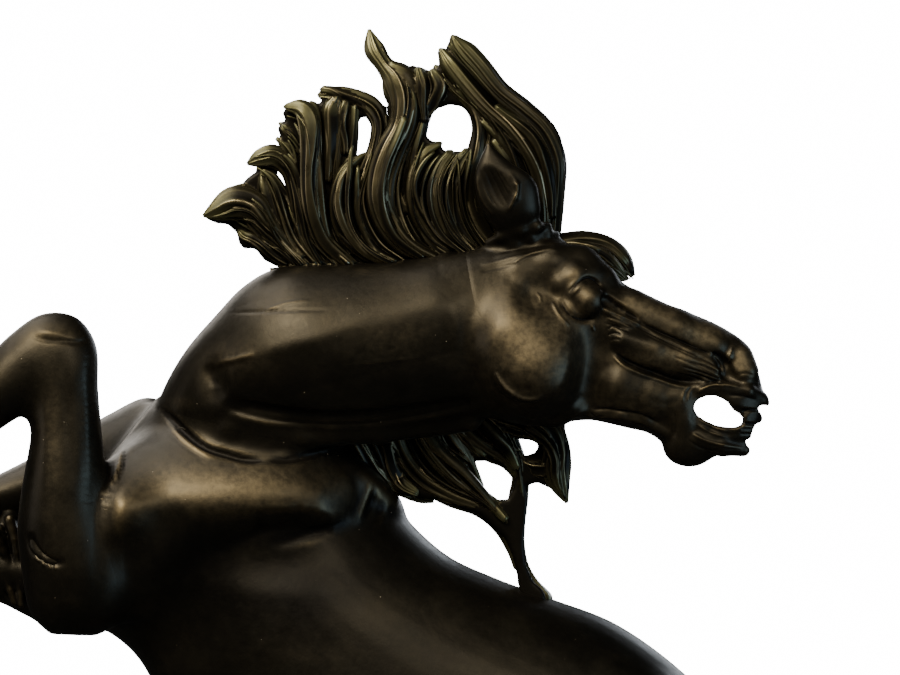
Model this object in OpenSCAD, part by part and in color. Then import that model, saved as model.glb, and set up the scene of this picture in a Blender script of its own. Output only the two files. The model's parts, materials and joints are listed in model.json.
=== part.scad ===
/* [Casting] */
// Millimetres per division of the sculptor's pointing frame; sets the height of the horse
division = 0.36; // [0.34:0.01:0.38]
// Wall of the hollow bronze castings
wall = 4.5; // [3.5:0.5:6]
// Length of the spigot of the head inside the neck
spigot_len = 10; // [6:1:14]
// Diameter of the cross pins in the head spigot
pin_d = 3; // [2.5:0.5:4]
// Diameter of the dowels at the roots of the legs
dowel_d = 5; // [4:0.5:6]
// Length of the dowels at the roots of the legs
dowel_len = 26; // [20:1:30]

/* [Marble base] */
// Length of the marble base
base_len = 250; // [240:5:280]
// Width of the marble base
base_wid = 140; // [130:5:170]
// Thickness of the marble base
base_thk = 30; // [26:1:40]
// Thickness of the felt pad under the base
felt_thk = 1; // [0.5:0.5:2]
// How far the felt stops short of the edge of the marble
felt_inset = 4; // [3:1:8]

/* [Ground plinth] */
// Length of the bronze ground plinth
plinth_len = 218; // [210:2:226]
// Width of the bronze ground plinth
plinth_wid = 112; // [106:2:120]
// Height of the ground plinth where the hooves stand
plinth_h = 15.8; // [15:0.1:18]

/* [Fasteners] */
// Thread diameter of the hoof and tail studs
stud_d = 6; // [5:0.5:6]
// Depth that each stud enters its hoof
stud_in = 20; // [14:1:22]
// Width across the flats of the stud nuts
nut_af = 10; // [9:0.5:11]
// Thread diameter of the base bolts
bolt_d = 6; // [5:0.5:6]
// Width across the flats of the base bolt heads
head_af = 10; // [9:0.5:11]
// Diameter of the counterbores under the marble
cbore_d = 18; // [16:0.5:20]
// Depth of the counterbores under the marble
cbore_h = 9; // [8:0.5:12]

/* [Hidden] */
// Every node by name

// Colours of the patina, the stone and the steel
bronze = "#2b211b";
bronze_warm = "#3d3220";
steel = "#9a9ca0";
stone = "#23211f";
felt = "#1d3a2a";

// Height of the ground, where the soles of the hooves stand
ground_z = felt_thk + base_thk + plinth_h;
// Division along the frame that stands over the middle of the base
a0 = 500;
// Division down the frame that is level with the ground
d0 = 1290;

// A point of the pointing frame: a along (tail side positive), y across (right side of the horse positive), d down
function P(a, y, d) = [(a - a0) * division, y * division, ground_z + (d0 - d) * division];
// Clamped row of a table
function row(T, i) = T[i < 0 ? 0 : (i > len(T) - 1 ? len(T) - 1 : i)];
// Smooth value between b and c
function cr(a, b, c, d, t) = 0.5 * (2 * b + (c - a) * t + (2 * a - 5 * b + 4 * c - d) * t * t + (3 * b - a - 3 * c + d) * t * t * t);
// A table with n steps between its rows
function dense(T, n) = [for (i = [0 : len(T) - 2]) for (k = [0 : n - 1]) cr(row(T, i - 1), T[i], T[i + 1], row(T, i + 2), k / n), T[len(T) - 1]];
function unit(v) = v / max(norm(v), 0.0001);

// Section between two edges of a limb: row = [a, d, y of one edge, a, d, y of the other edge, half thickness]; w = inset
function edge_ring(s, m, w) =
    let (A = P(s[0], s[2], s[1]), B = P(s[3], s[5], s[4]), C = (A + B) / 2, E0 = (A - B) / 2,
         E = E0 * max(0.05, 1 - w / norm(E0)), H = [0, max(0.05, s[6] * division - w), 0])
    [for (k = [0 : m - 1]) C + E * cos(360 * k / m) + H * sin(360 * k / m)];
// Section across the line of a lock: row = [a, d, y, half width, half thickness]
function lock_ring(T, i, m) =
    let (s = T[i], p = row(T, i - 1), q = row(T, i + 1), t = unit([q[0] - p[0], 0, p[1] - q[1]]),
         N = [-t[2], 0, t[0]] * s[3] * division, H = [0, s[4] * division, 0], C = P(s[0], s[2], s[1]))
    [for (k = [0 : m - 1]) C + N * cos(360 * k / m) + H * sin(360 * k / m)];
// Middle of a ring
function mid(R) = let (n = len(R)) [for (j = [0 : 2]) [for (p = R) p[j]] * [for (p = R) 1] / n];

// Closed skin over a list of rings that all have the same number of points
module skin(R) {
    n = len(R);
    m = len(R[0]);
    h = floor(n / 2);
    axis = mid(R[min(h + 1, n - 1)]) - mid(R[h - 1]);
    turn = cross(R[h][0] - mid(R[h]), R[h][floor(m / 4)] - mid(R[h])) * axis > 0;
    pts = [for (r = R) for (k = [0 : m - 1]) turn ? r[m - 1 - k] : r[k]];
    sides = [for (i = [0 : n - 2]) for (k = [0 : m - 1]) let (l = (k + 1) % m, a = i * m + k, b = i * m + l, c = a + m, d = b + m)
        for (f = (i + k) % 2 == 0 ? [[a, b, d], [a, d, c]] : [[a, b, c], [b, d, c]]) f];
    caps = [[for (k = [0 : m - 1]) m - 1 - k], [for (k = [0 : m - 1]) (n - 1) * m + k]];
    polyhedron(points = pts, faces = concat(sides, caps), convexity = 8);
}
module limb(T, n = 2, m = 20, w = 0) { skin([for (s = dense(T, n)) edge_ring(s, m, w)]); }
module lock(T, n = 1, m = 8) { D = dense(T, n); skin([for (i = [0 : len(D) - 1]) lock_ring(D, i, m)]); }
module locks(L, n = 1, m = 8) { for (T = L) lock(T, n, m); }

// Trunk: back edge, belly edge, half width
trunk_rows = [
    [158, 398, 10, 84, 492, 10, 30], [205, 402, 6, 62, 548, 6, 76], [285, 425, 0, 72, 612, 0, 98], [362, 468, 0, 112, 634, 0, 106],
    [403, 515, 0, 140, 660, 0, 108], [445, 555, 0, 168, 708, 0, 110], [495, 579, 0, 215, 768, 0, 113], [552, 600, 0, 275, 826, 0, 116],
    [616, 625, 0, 345, 876, 0, 116], [678, 668, 0, 420, 914, 0, 112], [732, 724, 0, 495, 934, 0, 106], [770, 788, 0, 575, 946, 0, 92],
    [784, 848, 0, 655, 944, 0, 64], [776, 888, 0, 715, 925, 0, 26]];
// Neck: crest edge, throat edge, half width; from the chest round to the throat
neck_rows = [
    [148, 470, -4, 340, 540, -4, 60], [152, 425, -8, 350, 492, -8, 74], [164, 388, -20, 345, 464, -20, 76], [186, 350, -34, 338, 450, -34, 74],
    [216, 315, -48, 335, 445, -48, 70], [244, 286, -58, 342, 443, -58, 66], [278, 268, -64, 362, 438, -64, 63], [330, 264, -66, 392, 435, -66, 60],
    [386, 262, -68, 430, 428, -68, 56], [430, 255, -70, 468, 420, -70, 52], [468, 249, -70, 500, 416, -70, 49]];
// Head: profile edge, jaw edge, half width
head_rows = [
    [468, 249, -70, 500, 416, -70, 49], [500, 244, -70, 524, 417, -70, 47], [530, 241, -70, 545, 420, -70, 46], [562, 246, -70, 566, 422, -70, 48], [596, 263, -70, 590, 425, -70, 50], [628, 287, -70, 607, 426, -70, 46],
    [662, 304, -70, 628, 428, -70, 38], [692, 315, -70, 648, 432, -70, 32], [716, 325, -70, 664, 444, -70, 29], [738, 338, -70, 678, 463, -70, 29],
    [751, 352, -70, 696, 466, -70, 30], [759, 378, -70, 722, 458, -70, 29], [768, 402, -70, 748, 452, -70, 20]];
// Opening of the mouth
mouth = [[693, 409], [694, 403], [698, 398], [706, 395], [714, 395], [722, 398], [729, 402], [734, 410], [741, 414], [744, 418], [743, 423], [740, 426],
         [734, 428], [724, 427], [715, 425], [704, 421], [696, 415]];
// Ears: near side (right) and far side (left)
ear_right = [[528, 268, -86, 10, 9], [520, 240, -98, 16, 11], [512, 222, -104, 22, 13], [506, 198, -108, 28, 14], [498, 172, -110, 17, 9], [492, 158, -110, 8, 5], [489, 144, -108, 1.5, 1.5]];
ear_left = [[540, 276, -52, 10, 9], [536, 248, -44, 14, 10], [528, 226, -38, 18, 12], [520, 204, -34, 20, 12], [512, 186, -32, 14, 8], [507, 176, -32, 7, 5], [504, 166, -32, 1.5, 1.5]];

// Left foreleg: inner bend edge, outer edge, half thickness; from the elbow over the knee to the hoof
left_foreleg_rows = [
    [50, 634, -78, 96, 635, -78, 12], [30, 612, -80, 118, 620, -80, 32], [22, 572, -82, 126, 585, -82, 42], [18, 532, -84, 118, 540, -84, 44],
    [20, 498, -86, 108, 500, -86, 42], [26, 465, -88, 104, 460, -88, 38], [30, 438, -90, 101, 425, -90, 33], [29, 424, -90, 98, 388, -90, 31],
    [27, 421, -90, 96, 345, -90, 30], [25, 419, -90, 74, 317, -90, 29], [23, 418, -90, 42, 315, -90, 28], [19, 418, -90, 10, 335, -90, 27],
    [2, 428, -90, -14, 360, -90, 26], [-22, 446, -90, -42, 392, -90, 22], [-46, 468, -90, -70, 422, -90, 21], [-64, 490, -90, -98, 448, -90, 22],
    [-72, 514, -90, -120, 476, -90, 25], [-74, 532, -90, -122, 512, -90, 20], [-72, 546, -90, -116, 538, -90, 19], [-64, 560, -90, -116, 560, -90, 25],
    [-48, 588, -90, -112, 604, -90, 30]];
// Right foreleg: upper and outer edge, lower and inner edge, half thickness; from the shoulder to the hoof
right_foreleg_rows = [
    [190, 420, 52, 140, 530, 52, 42], [150, 398, 60, 98, 515, 60, 46], [110, 414, 66, 72, 512, 66, 42], [70, 438, 70, 42, 512, 70, 35],
    [28, 460, 72, 10, 516, 72, 29], [0, 474, 72, -8, 519, 72, 26], [-30, 488, 72, -32, 532, 72, 25], [-62, 498, 72, -44, 544, 72, 26],
    [-88, 516, 72, -50, 551, 72, 26], [-97, 546, 71, -55, 556, 71, 25], [-86, 576, 68, -55, 562, 68, 23], [-60, 590, 64, -45, 560, 64, 20],
    [-28, 594, 60, -24, 554, 60, 20], [-4, 602, 56, -6, 545, 56, 24], [16, 596, 52, 20, 552, 52, 19], [34, 600, 50, 38, 550, 50, 24],
    [64, 606, 48, 60, 536, 48, 29]];
// Left hind leg: front edge, rear edge, half thickness; from the haunch to the hoof
hind_rows = [
    [590, 800, -60, 760, 775, -60, 40], [530, 850, -62, 786, 845, -62, 54], [496, 905, -64, 780, 905, -64, 60], [492, 950, -64, 752, 952, -64, 55],
    [514, 990, -64, 730, 985, -64, 47], [556, 1020, -63, 724, 1008, -63, 38], [602, 1046, -62, 726, 1028, -62, 30], [640, 1072, -62, 740, 1046, -62, 26],
    [654, 1098, -62, 726, 1084, -62, 24], [648, 1124, -62, 702, 1118, -62, 19], [632, 1156, -62, 682, 1156, -62, 17], [614, 1188, -62, 664, 1192, -62, 18],
    [590, 1214, -62, 652, 1224, -62, 21], [572, 1238, -62, 622, 1250, -62, 18], [554, 1262, -62, 616, 1270, -62, 24], [532, 1290, -62, 622, 1290, -62, 30]];
// How far each row of the right hind leg stands behind the same row of the left
stride = [0, 0, 0, 4, 8, 14, 20, 28, 34, 40, 46, 52, 56, 60, 60, 60];
// Rows of the right hind leg
hind_right_rows = [for (i = [0 : len(hind_rows) - 1]) let (r = hind_rows[i], s = stride[i]) [r[0] + s, r[1], -r[2], r[3] + s, r[4], -r[5], r[6]]];
// Tail: line, across, half width, half thickness
tail_rows = [
    [752, 800, 0, 16, 14], [778, 806, 0, 18, 17], [806, 838, 0, 22, 22], [824, 890, 0, 26, 26], [830, 950, -2, 30, 30], [826, 1020, -6, 33, 33],
    [814, 1090, -8, 33, 34], [800, 1160, -6, 30, 32], [782, 1225, -2, 26, 28], [766, 1290, 0, 22, 22]];

// Locks of the crest mane, rear section: line, across, half width, half thickness; from the crest to the tip
crest_rear = [
    [[270, 266, -62, 6, 8], [300, 262, -64, 9, 16], [340, 261, -65, 10, 18], [380, 261, -66, 10, 18], [404, 258, -66, 8, 14]],
    [[292, 262, -60, 8, 9], [270, 248, -58, 8, 9], [256, 236, -56, 9, 9], [248, 228, -55, 9, 8], [243, 222, -54, 3, 4]],
    [[300, 263, -62, 8, 10], [282, 246, -64, 11, 11], [266, 225, -66, 12, 12], [252, 207, -68, 16, 13], [234, 204, -70, 17, 11], [216, 211, -72, 10, 7], [203, 216, -73, 1.5, 1.5]],
    [[308, 262, -60, 8, 9], [290, 243, -60, 10, 10], [278, 222, -60, 10, 10], [269, 203, -60, 11, 10], [264, 187, -60, 12, 9], [262, 170, -60, 6, 5]],
    [[318, 262, -62, 8, 10], [304, 240, -64, 8, 10], [298, 215, -66, 6, 9], [294, 192, -66, 6, 9], [288, 170, -66, 8, 8], [275, 157, -67, 12, 8], [260, 159, -68, 10, 6], [247, 164, -69, 1.5, 1.5]],
    [[326, 262, -62, 7, 9], [310, 240, -62, 7, 9], [304, 215, -62, 6, 8], [300, 190, -62, 6, 8], [296, 165, -62, 7, 7], [288, 148, -62, 6, 5], [276, 138, -62, 2, 2]],
    [[334, 262, -58, 7, 9], [316, 240, -56, 7, 9], [309, 215, -56, 6, 9], [306, 190, -56, 6, 9], [303, 165, -56, 7, 8], [300, 145, -56, 8, 8], [292, 130, -56, 9, 7], [281, 124, -56, 3, 3]],
    [[348, 262, -66, 8, 12], [326, 243, -70, 9, 12], [315, 220, -73, 9, 12], [310, 195, -74, 9, 12], [309, 170, -74, 9, 12], [310, 145, -73, 10, 12], [309, 122, -72, 12, 11], [301, 109, -71, 10, 9], [287, 107, -70, 4, 4]],
    [[356, 262, -56, 9, 12], [338, 240, -54, 10, 12], [330, 215, -52, 10, 11], [327, 190, -51, 10, 11], [327, 165, -50, 10, 10], [328, 140, -50, 10, 10], [331, 118, -50, 10, 9], [336, 104, -50, 6, 5]],
    [[370, 262, -50, 9, 12], [352, 235, -46, 9, 12], [344, 205, -42, 9, 11], [344, 180, -40, 9, 11], [348, 155, -38, 9, 10], [350, 130, -38, 9, 10], [352, 108, -38, 6, 6]],
    [[388, 262, -64, 8, 12], [364, 250, -68, 9, 12], [346, 230, -70, 10, 12], [338, 207, -71, 9, 12], [340, 185, -71, 8, 10], [348, 169, -70, 7, 8], [360, 158, -68, 4, 5], [367, 153, -67, 1.5, 2]],
    [[402, 260, -62, 9, 12], [380, 245, -64, 10, 12], [366, 222, -66, 10, 12], [361, 198, -67, 10, 12], [367, 172, -67, 9, 11], [376, 148, -66, 8, 10], [380, 125, -64, 9, 10], [372, 107, -62, 10, 10], [352, 97, -60, 9, 9], [336, 95, -60, 9, 8], [322, 95, -60, 5, 5]]];
// Locks of the crest mane, front section
crest_front = [
    [[396, 260, -66, 8, 14], [430, 254, -68, 10, 18], [470, 248, -69, 11, 20], [510, 242, -70, 10, 20], [548, 238, -70, 8, 16]],
    [[432, 258, -66, 9, 12], [406, 245, -70, 11, 13], [388, 225, -73, 12, 14], [379, 200, -75, 12, 14], [380, 175, -75, 12, 13], [388, 150, -74, 12, 13], [400, 125, -72, 12, 12], [403, 100, -70, 14, 12], [396, 78, -68, 14, 11], [384, 64, -66, 9, 8], [374, 48, -64, 10, 6], [369, 29, -62, 1.5, 1.5]],
    [[404, 128, -60, 8, 8], [397, 106, -60, 8, 8], [389, 92, -60, 6, 6], [384, 82, -60, 2, 2]],
    [[442, 256, -62, 9, 12], [420, 240, -60, 10, 12], [406, 215, -58, 10, 12], [401, 190, -57, 10, 11], [404, 165, -56, 9, 11], [412, 142, -56, 9, 10], [421, 120, -56, 9, 10], [426, 100, -56, 10, 10], [424, 82, -56, 10, 9], [412, 71, -57, 6, 6]],
    [[457, 254, -66, 8, 10], [434, 238, -69, 9, 10], [418, 215, -71, 9, 10], [412, 190, -71, 8, 10], [416, 168, -70, 7, 9], [426, 152, -69, 6, 8], [440, 144, -68, 3, 4]],
    [[467, 254, -70, 8, 10], [448, 235, -74, 8, 10], [437, 210, -76, 8, 10], [434, 188, -76, 8, 10], [440, 168, -74, 7, 9], [450, 154, -72, 5, 5]],
    [[480, 253, -68, 8, 12], [463, 232, -70, 9, 12], [453, 208, -72, 9, 12], [452, 185, -72, 8, 12], [458, 166, -70, 8, 9], [467, 152, -68, 5, 5]],
    [[494, 250, -66, 10, 14], [478, 225, -66, 11, 14], [470, 200, -66, 11, 13], [471, 175, -66, 10, 12], [477, 150, -64, 9, 12], [479, 128, -62, 7, 11], [473, 108, -60, 7, 10], [458, 94, -58, 8, 10], [444, 82, -58, 9, 9], [437, 69, -58, 5, 5]],
    [[516, 246, -58, 12, 14], [506, 222, -56, 13, 14], [502, 196, -56, 13, 12], [503, 170, -56, 13, 12], [503, 148, -56, 12, 12], [496, 128, -58, 11, 12], [480, 110, -60, 10, 10], [462, 92, -62, 9, 9]],
    [[540, 242, -62, 9, 12], [544, 222, -64, 10, 12], [542, 196, -66, 11, 12], [537, 172, -68, 12, 12], [525, 148, -70, 13, 12], [508, 126, -71, 13, 12], [486, 106, -71, 12, 11], [466, 84, -70, 12, 10], [450, 64, -68, 11, 9], [442, 52, -67, 5, 5]],
    [[552, 240, -58, 8, 14], [553, 222, -56, 9, 15], [555, 190, -55, 10, 15], [554, 160, -56, 12, 14], [542, 132, -58, 13, 13], [522, 112, -60, 13, 12], [498, 93, -62, 13, 11], [478, 70, -64, 14, 10], [462, 52, -65, 13, 9], [454, 39, -66, 5, 5]]];
// Locks of the lower mane; the long strand reaches down to the back
lower_locks = [
    [[374, 425, -20, 11, 12], [382, 448, -17, 11, 12], [390, 470, -14, 10, 11], [402, 488, -10, 8, 8], [420, 498, -8, 5, 5], [434, 501, -8, 2, 2]],
    [[392, 420, -22, 10, 12], [402, 452, -20, 10, 12], [422, 478, -18, 11, 11], [450, 495, -16, 12, 10], [480, 507, -14, 10, 9], [502, 526, -12, 9, 8], [513, 548, -10, 7, 7], [518, 566, -8, 5, 6]],
    [[412, 415, -26, 10, 12], [428, 446, -26, 11, 12], [448, 470, -24, 11, 11], [470, 488, -22, 8, 8], [492, 502, -20, 6, 6], [512, 516, -16, 6, 6]],
    [[432, 412, -22, 11, 12], [448, 436, -20, 12, 12], [462, 455, -18, 11, 10], [472, 470, -18, 6, 6], [480, 486, -18, 4, 4]],
    [[450, 408, -24, 12, 12], [466, 430, -22, 14, 12], [488, 446, -20, 14, 11], [508, 458, -18, 11, 10], [520, 474, -16, 8, 8]],
    [[476, 405, -22, 11, 12], [500, 424, -20, 12, 12], [515, 448, -16, 8, 10], [521, 472, -14, 8, 9], [518, 498, -12, 10, 9], [516, 522, -10, 10, 9], [518, 546, -8, 8, 8], [522, 566, -6, 8, 9], [530, 584, -4, 10, 12], [540, 600, -2, 14, 16]],
    [[496, 420, -24, 9, 9], [516, 430, -24, 8, 9], [534, 434, -24, 7, 8], [548, 442, -24, 6, 7]],
    [[516, 462, -16, 6, 7], [534, 468, -19, 9, 7], [550, 470, -22, 8, 6]],
    [[500, 408, -30, 10, 10], [528, 418, -28, 12, 10], [548, 430, -26, 14, 10], [556, 450, -24, 14, 9], [556, 470, -22, 15, 8], [561, 488, -20, 9, 6], [567, 503, -18, 1.5, 1.5]]];
// Locks of the forelock
forelock_locks = [
    [[540, 246, -60, 9, 10], [562, 243, -56, 10, 12], [586, 242, -54, 11, 12], [608, 248, -52, 11, 11], [624, 262, -50, 8, 8], [634, 276, -48, 1.5, 2]],
    [[552, 256, -66, 9, 9], [578, 256, -64, 10, 10], [600, 264, -62, 8, 9], [616, 272, -60, 5, 6], [626, 279, -58, 1.5, 2]]];

// Keeps a cut of sculpted skins as one sewn mesh
module fused() { resize([0, 0, 0]) children(); }

module trunk_skin(w = 0) { limb(w > 0 ? [for (i = [1 : len(trunk_rows) - 2]) trunk_rows[i]] : trunk_rows, 2, 24, w); }
module neck_skin() { limb(neck_rows, 2, 24); }
module neck_core() { limb([for (i = [1 : len(neck_rows) - 1]) neck_rows[i]], 2, 16, wall); }
module head_skin() { limb(head_rows, 2, 24); }
module mouth_cut() { translate([0, -10 * division, 0]) rotate([90, 0, 0]) linear_extrude(130 * division) polygon([for (p = mouth) let (q = P(p[0], 0, p[1])) [q[0], q[2]]]); }
module jaw_cut() { translate([0, -10 * division, 0]) rotate([90, 0, 0]) linear_extrude(130 * division) polygon([for (p = [[775, 408], [757, 409], [752, 418], [742, 432], [746, 443], [775, 446], [785, 425]]) let (q = P(p[0], 0, p[1])) [q[0], q[2]]]); }
// Spigot of the head, a close fit in the open end of the neck
module spigot() {
    last = neck_rows[len(neck_rows) - 1];
    back = spigot_len / division;
    skin([edge_ring([last[0] - back, last[1] + 2, last[2], last[3] - back, last[4] - 2, last[5], last[6]], 16, wall + 1.2), edge_ring(last, 16, wall + 0.3),
          edge_ring([last[0] + 6, last[1], last[2], last[3] + 6, last[4], last[5], last[6]], 16, wall + 0.3)]);
}

// Places of the ground studs: near hoof, far hoof, tail
stud_at = [P(577, -62, d0), P(637, 62, d0), P(766, 0, d0)];
// Places of the bolts of the marble base
bolt_at = [[-72, -26], [-72, 26], [84, -30], [84, 30]];
// Underside of the bosses inside the plinth
boss_z = felt_thk + base_thk + 8;

// Dowels of the legs: middle and direction
dowel_at = [[P(100, -66, 560), [1, 0.25, 0.05]], [P(128, 52, 470), [1, -0.3, 0.05]], [P(640, -58, 900), [0.15, 0, 1]], [P(645, 58, 900), [0.15, 0, 1]]];
module along(v) { u = unit(v); rotate([0, acos(u[2]), atan2(u[1], u[0])]) children(); }
module dowel(i, grow = 0) { translate(dowel_at[i][0]) along(dowel_at[i][1]) cylinder(d = dowel_d + grow, h = dowel_len, center = true, $fn = 32); }

// Side pins through the neck shell into the spigot
pin_at = [[470, 300], [476, 366]];
module side_pin(i, s, grow = 0) {
    c = P(pin_at[i][0], -70, pin_at[i][1]);
    translate(c + [0, s * 9, 0]) rotate([s > 0 ? -90 : 90, 0, 0]) cylinder(d = pin_d + grow, h = 5.4, $fn = 32);
}

module trunk() {
    color(bronze) difference() {
        fused() difference() { trunk_skin(); trunk_skin(wall); neck_core(); }
        for (i = [0 : 3]) dowel(i);
    }
}
module neck() {
    color(bronze) difference() {
        fused() difference() { neck_skin(); trunk_skin(); neck_core(); }
        for (i = [0 : 1]) for (s = [-1, 1]) side_pin(i, s);
    }
}
module ears() { lock(ear_right, 2, 12); lock(ear_left, 2, 12); }
module head() {
    color(bronze) difference() {
        fused() difference() {
            union() { head_skin(); spigot(); ears(); }
            mouth_cut();
            jaw_cut();
        }
        for (i = [0 : 1]) for (s = [-1, 1]) side_pin(i, s);
    }
}
module forelock() { color(bronze_warm) fused() difference() { locks(forelock_locks, 2, 10); head_skin(); neck_skin(); ears(); locks(crest_front); } }
module crest_mane_front() { color(bronze_warm) fused() difference() { locks(crest_front); neck_skin(); head_skin(); ears(); } }
module crest_mane_rear() { color(bronze_warm) fused() difference() { locks(crest_rear); neck_skin(); locks(crest_front); } }
module lower_mane() { color(bronze_warm) fused() difference() { locks(lower_locks); neck_skin(); trunk_skin(); head_skin(); } }

module left_foreleg() { color(bronze) difference() { fused() difference() { limb(left_foreleg_rows, 2, 16); trunk_skin(); neck_skin(); } dowel(0); } }
module right_foreleg() { color(bronze) difference() { fused() difference() { limb(right_foreleg_rows, 2, 16); trunk_skin(); neck_skin(); } dowel(1); } }
module stud_hole(i) { translate([stud_at[i][0], stud_at[i][1], ground_z - 20]) cylinder(d = stud_d, h = 20 + stud_in, $fn = 32); }
module left_hind_leg() { color(bronze) difference() { fused() difference() { limb(hind_rows, 2, 16); trunk_skin(); } dowel(2); stud_hole(0); } }
module right_hind_leg() { color(bronze) difference() { fused() difference() { limb(hind_right_rows, 2, 16); trunk_skin(); } dowel(3); stud_hole(1); } }
module tail() { color(bronze_warm) difference() { fused() difference() { lock(tail_rows, 2, 16); trunk_skin(); limb(hind_rows, 2, 16); limb(hind_right_rows, 2, 16); } stud_hole(2); } }

module leg_dowels() { color(bronze_warm) for (i = [0 : 3]) dowel(i); }
module head_pins() { color(bronze_warm) for (i = [0 : 1]) for (s = [-1, 1]) side_pin(i, s); }

// Outline of the ground plinth, a soft-cornered and slightly uneven oval
function ground_r(t) = let (c = cos(t), s = sin(t), p = 2.6)
    1 / pow(pow(abs(c) / (plinth_len / 2), p) + pow(abs(s) / (plinth_wid / 2), p), 1 / p) * (1 + 0.012 * sin(3 * t + 40) + 0.009 * sin(5 * t + 200) - 0.02);
function ground_ring(f, z, m) = [for (k = [0 : m - 1]) let (t = 360 * k / m, r = ground_r(t) * (f + 0.012 * (1 - f) * 8 * sin(7 * t + 30))) [r * cos(t), r * sin(t), z]];
module ground_body() {
    z0 = felt_thk + base_thk;
    m = 60;
    skin([ground_ring(1, z0, m), ground_ring(1, z0 + 4, m), ground_ring(0.985, z0 + 8, m), ground_ring(0.95, z0 + 12, m), ground_ring(0.9, z0 + plinth_h - 1, m), ground_ring(0.86, z0 + plinth_h, m)]);
}
module ground_plinth() {
    z0 = felt_thk + base_thk;
    color(bronze) difference() {
        ground_body();
        difference() {
            translate([0, 0, z0 - 1]) linear_extrude(plinth_h - 4) polygon([for (p = ground_ring(0.84, 0, 40)) [p[0], p[1]]]);
            for (p = stud_at) translate([p[0], p[1], boss_z]) cylinder(d = 18, h = 20, $fn = 40);
            for (p = bolt_at) translate([p[0], p[1], z0 - 2]) cylinder(d = 13, h = 20, $fn = 40);
        }
        for (i = [0 : 2]) stud_hole(i);
        for (p = bolt_at) translate([p[0], p[1], z0 - 1]) cylinder(d = bolt_d, h = 11, $fn = 32);
    }
}
module ground_studs() { color(steel) for (i = [0 : 2]) translate([stud_at[i][0], stud_at[i][1], boss_z - 7.5]) cylinder(d = stud_d, h = ground_z + stud_in - boss_z + 7.5, $fn = 32); }
module stud_washers() { color(steel) for (p = stud_at) translate([p[0], p[1], boss_z - 1.2]) difference() { cylinder(d = 12, h = 1.2, $fn = 40); translate([0, 0, -1]) cylinder(d = stud_d, h = 4, $fn = 32); } }
module stud_nuts() { color(steel) for (p = stud_at) translate([p[0], p[1], boss_z - 6.2]) difference() { cylinder(d = nut_af / cos(30), h = 5, $fn = 6); translate([0, 0, -1]) cylinder(d = stud_d, h = 8, $fn = 32); } }

// Edge moulding of the marble, from the bottom up
function moulding(r) = [[0, 0], [r - 1, 0], [r, 1], [r, 13], [r - 2.5, 15], [r - 2.5, 16.5], [r - 3.6, 19.5], [r - 5.5, 22.5], [r - 8.4, base_thk - 5], [r - 8.4, base_thk - 1], [r - 9.4, base_thk], [0, base_thk]];
module stadium(len, r, prof) {
    for (s = [-1, 1]) translate([s * (len / 2 - r), 0, 0]) rotate([0, 0, s > 0 ? -90 : 90]) rotate_extrude(angle = 180, $fn = 96) polygon(prof);
    rotate([90, 0, 90]) linear_extrude(len - 2 * r, center = true) polygon(concat(prof, [for (i = [len(prof) - 1 : -1 : 0]) if (prof[i][0] > 0) [-prof[i][0], prof[i][1]]]));
}
module marble_base() {
    color(stone) translate([0, 0, felt_thk]) difference() {
        stadium(base_len, base_wid / 2, moulding(base_wid / 2));
        for (p = bolt_at) translate([p[0], p[1], 0]) {
            translate([0, 0, -1]) cylinder(d = bolt_d + 1, h = base_thk + 2, $fn = 40);
            translate([0, 0, -1]) cylinder(d = cbore_d, h = cbore_h + 1, $fn = 48);
        }
    }
}
module base_bolts() {
    color(steel) for (p = bolt_at) translate([p[0], p[1], felt_thk + cbore_h - 1.5]) {
        translate([0, 0, -4]) cylinder(d = head_af / cos(30), h = 4, $fn = 6);
        translate([0, 0, -0.5]) cylinder(d = bolt_d, h = base_thk - cbore_h + 1.5 + 9 + 0.5, $fn = 32);
    }
}
module bolt_washers() { color(steel) for (p = bolt_at) translate([p[0], p[1], felt_thk + cbore_h - 1.5]) difference() { cylinder(d = 14, h = 1.5, $fn = 40); translate([0, 0, -1]) cylinder(d = bolt_d, h = 4, $fn = 32); } }
module felt_pad() {
    r = base_wid / 2 - felt_inset;
    color(felt) union() {
        for (s = [-1, 1]) translate([s * (base_len / 2 - base_wid / 2), 0, 0]) cylinder(r = r, h = felt_thk, $fn = 96);
        translate([-(base_len - base_wid) / 2, -r, 0]) cube([base_len - base_wid, 2 * r, felt_thk]);
    }
}

trunk();
neck();
head();
forelock();
crest_mane_front();
crest_mane_rear();
lower_mane();
left_foreleg();
right_foreleg();
left_hind_leg();
right_hind_leg();
tail();
leg_dowels();
head_pins();
ground_plinth();
ground_studs();
stud_washers();
stud_nuts();
marble_base();
base_bolts();
bolt_washers();
felt_pad();
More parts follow.
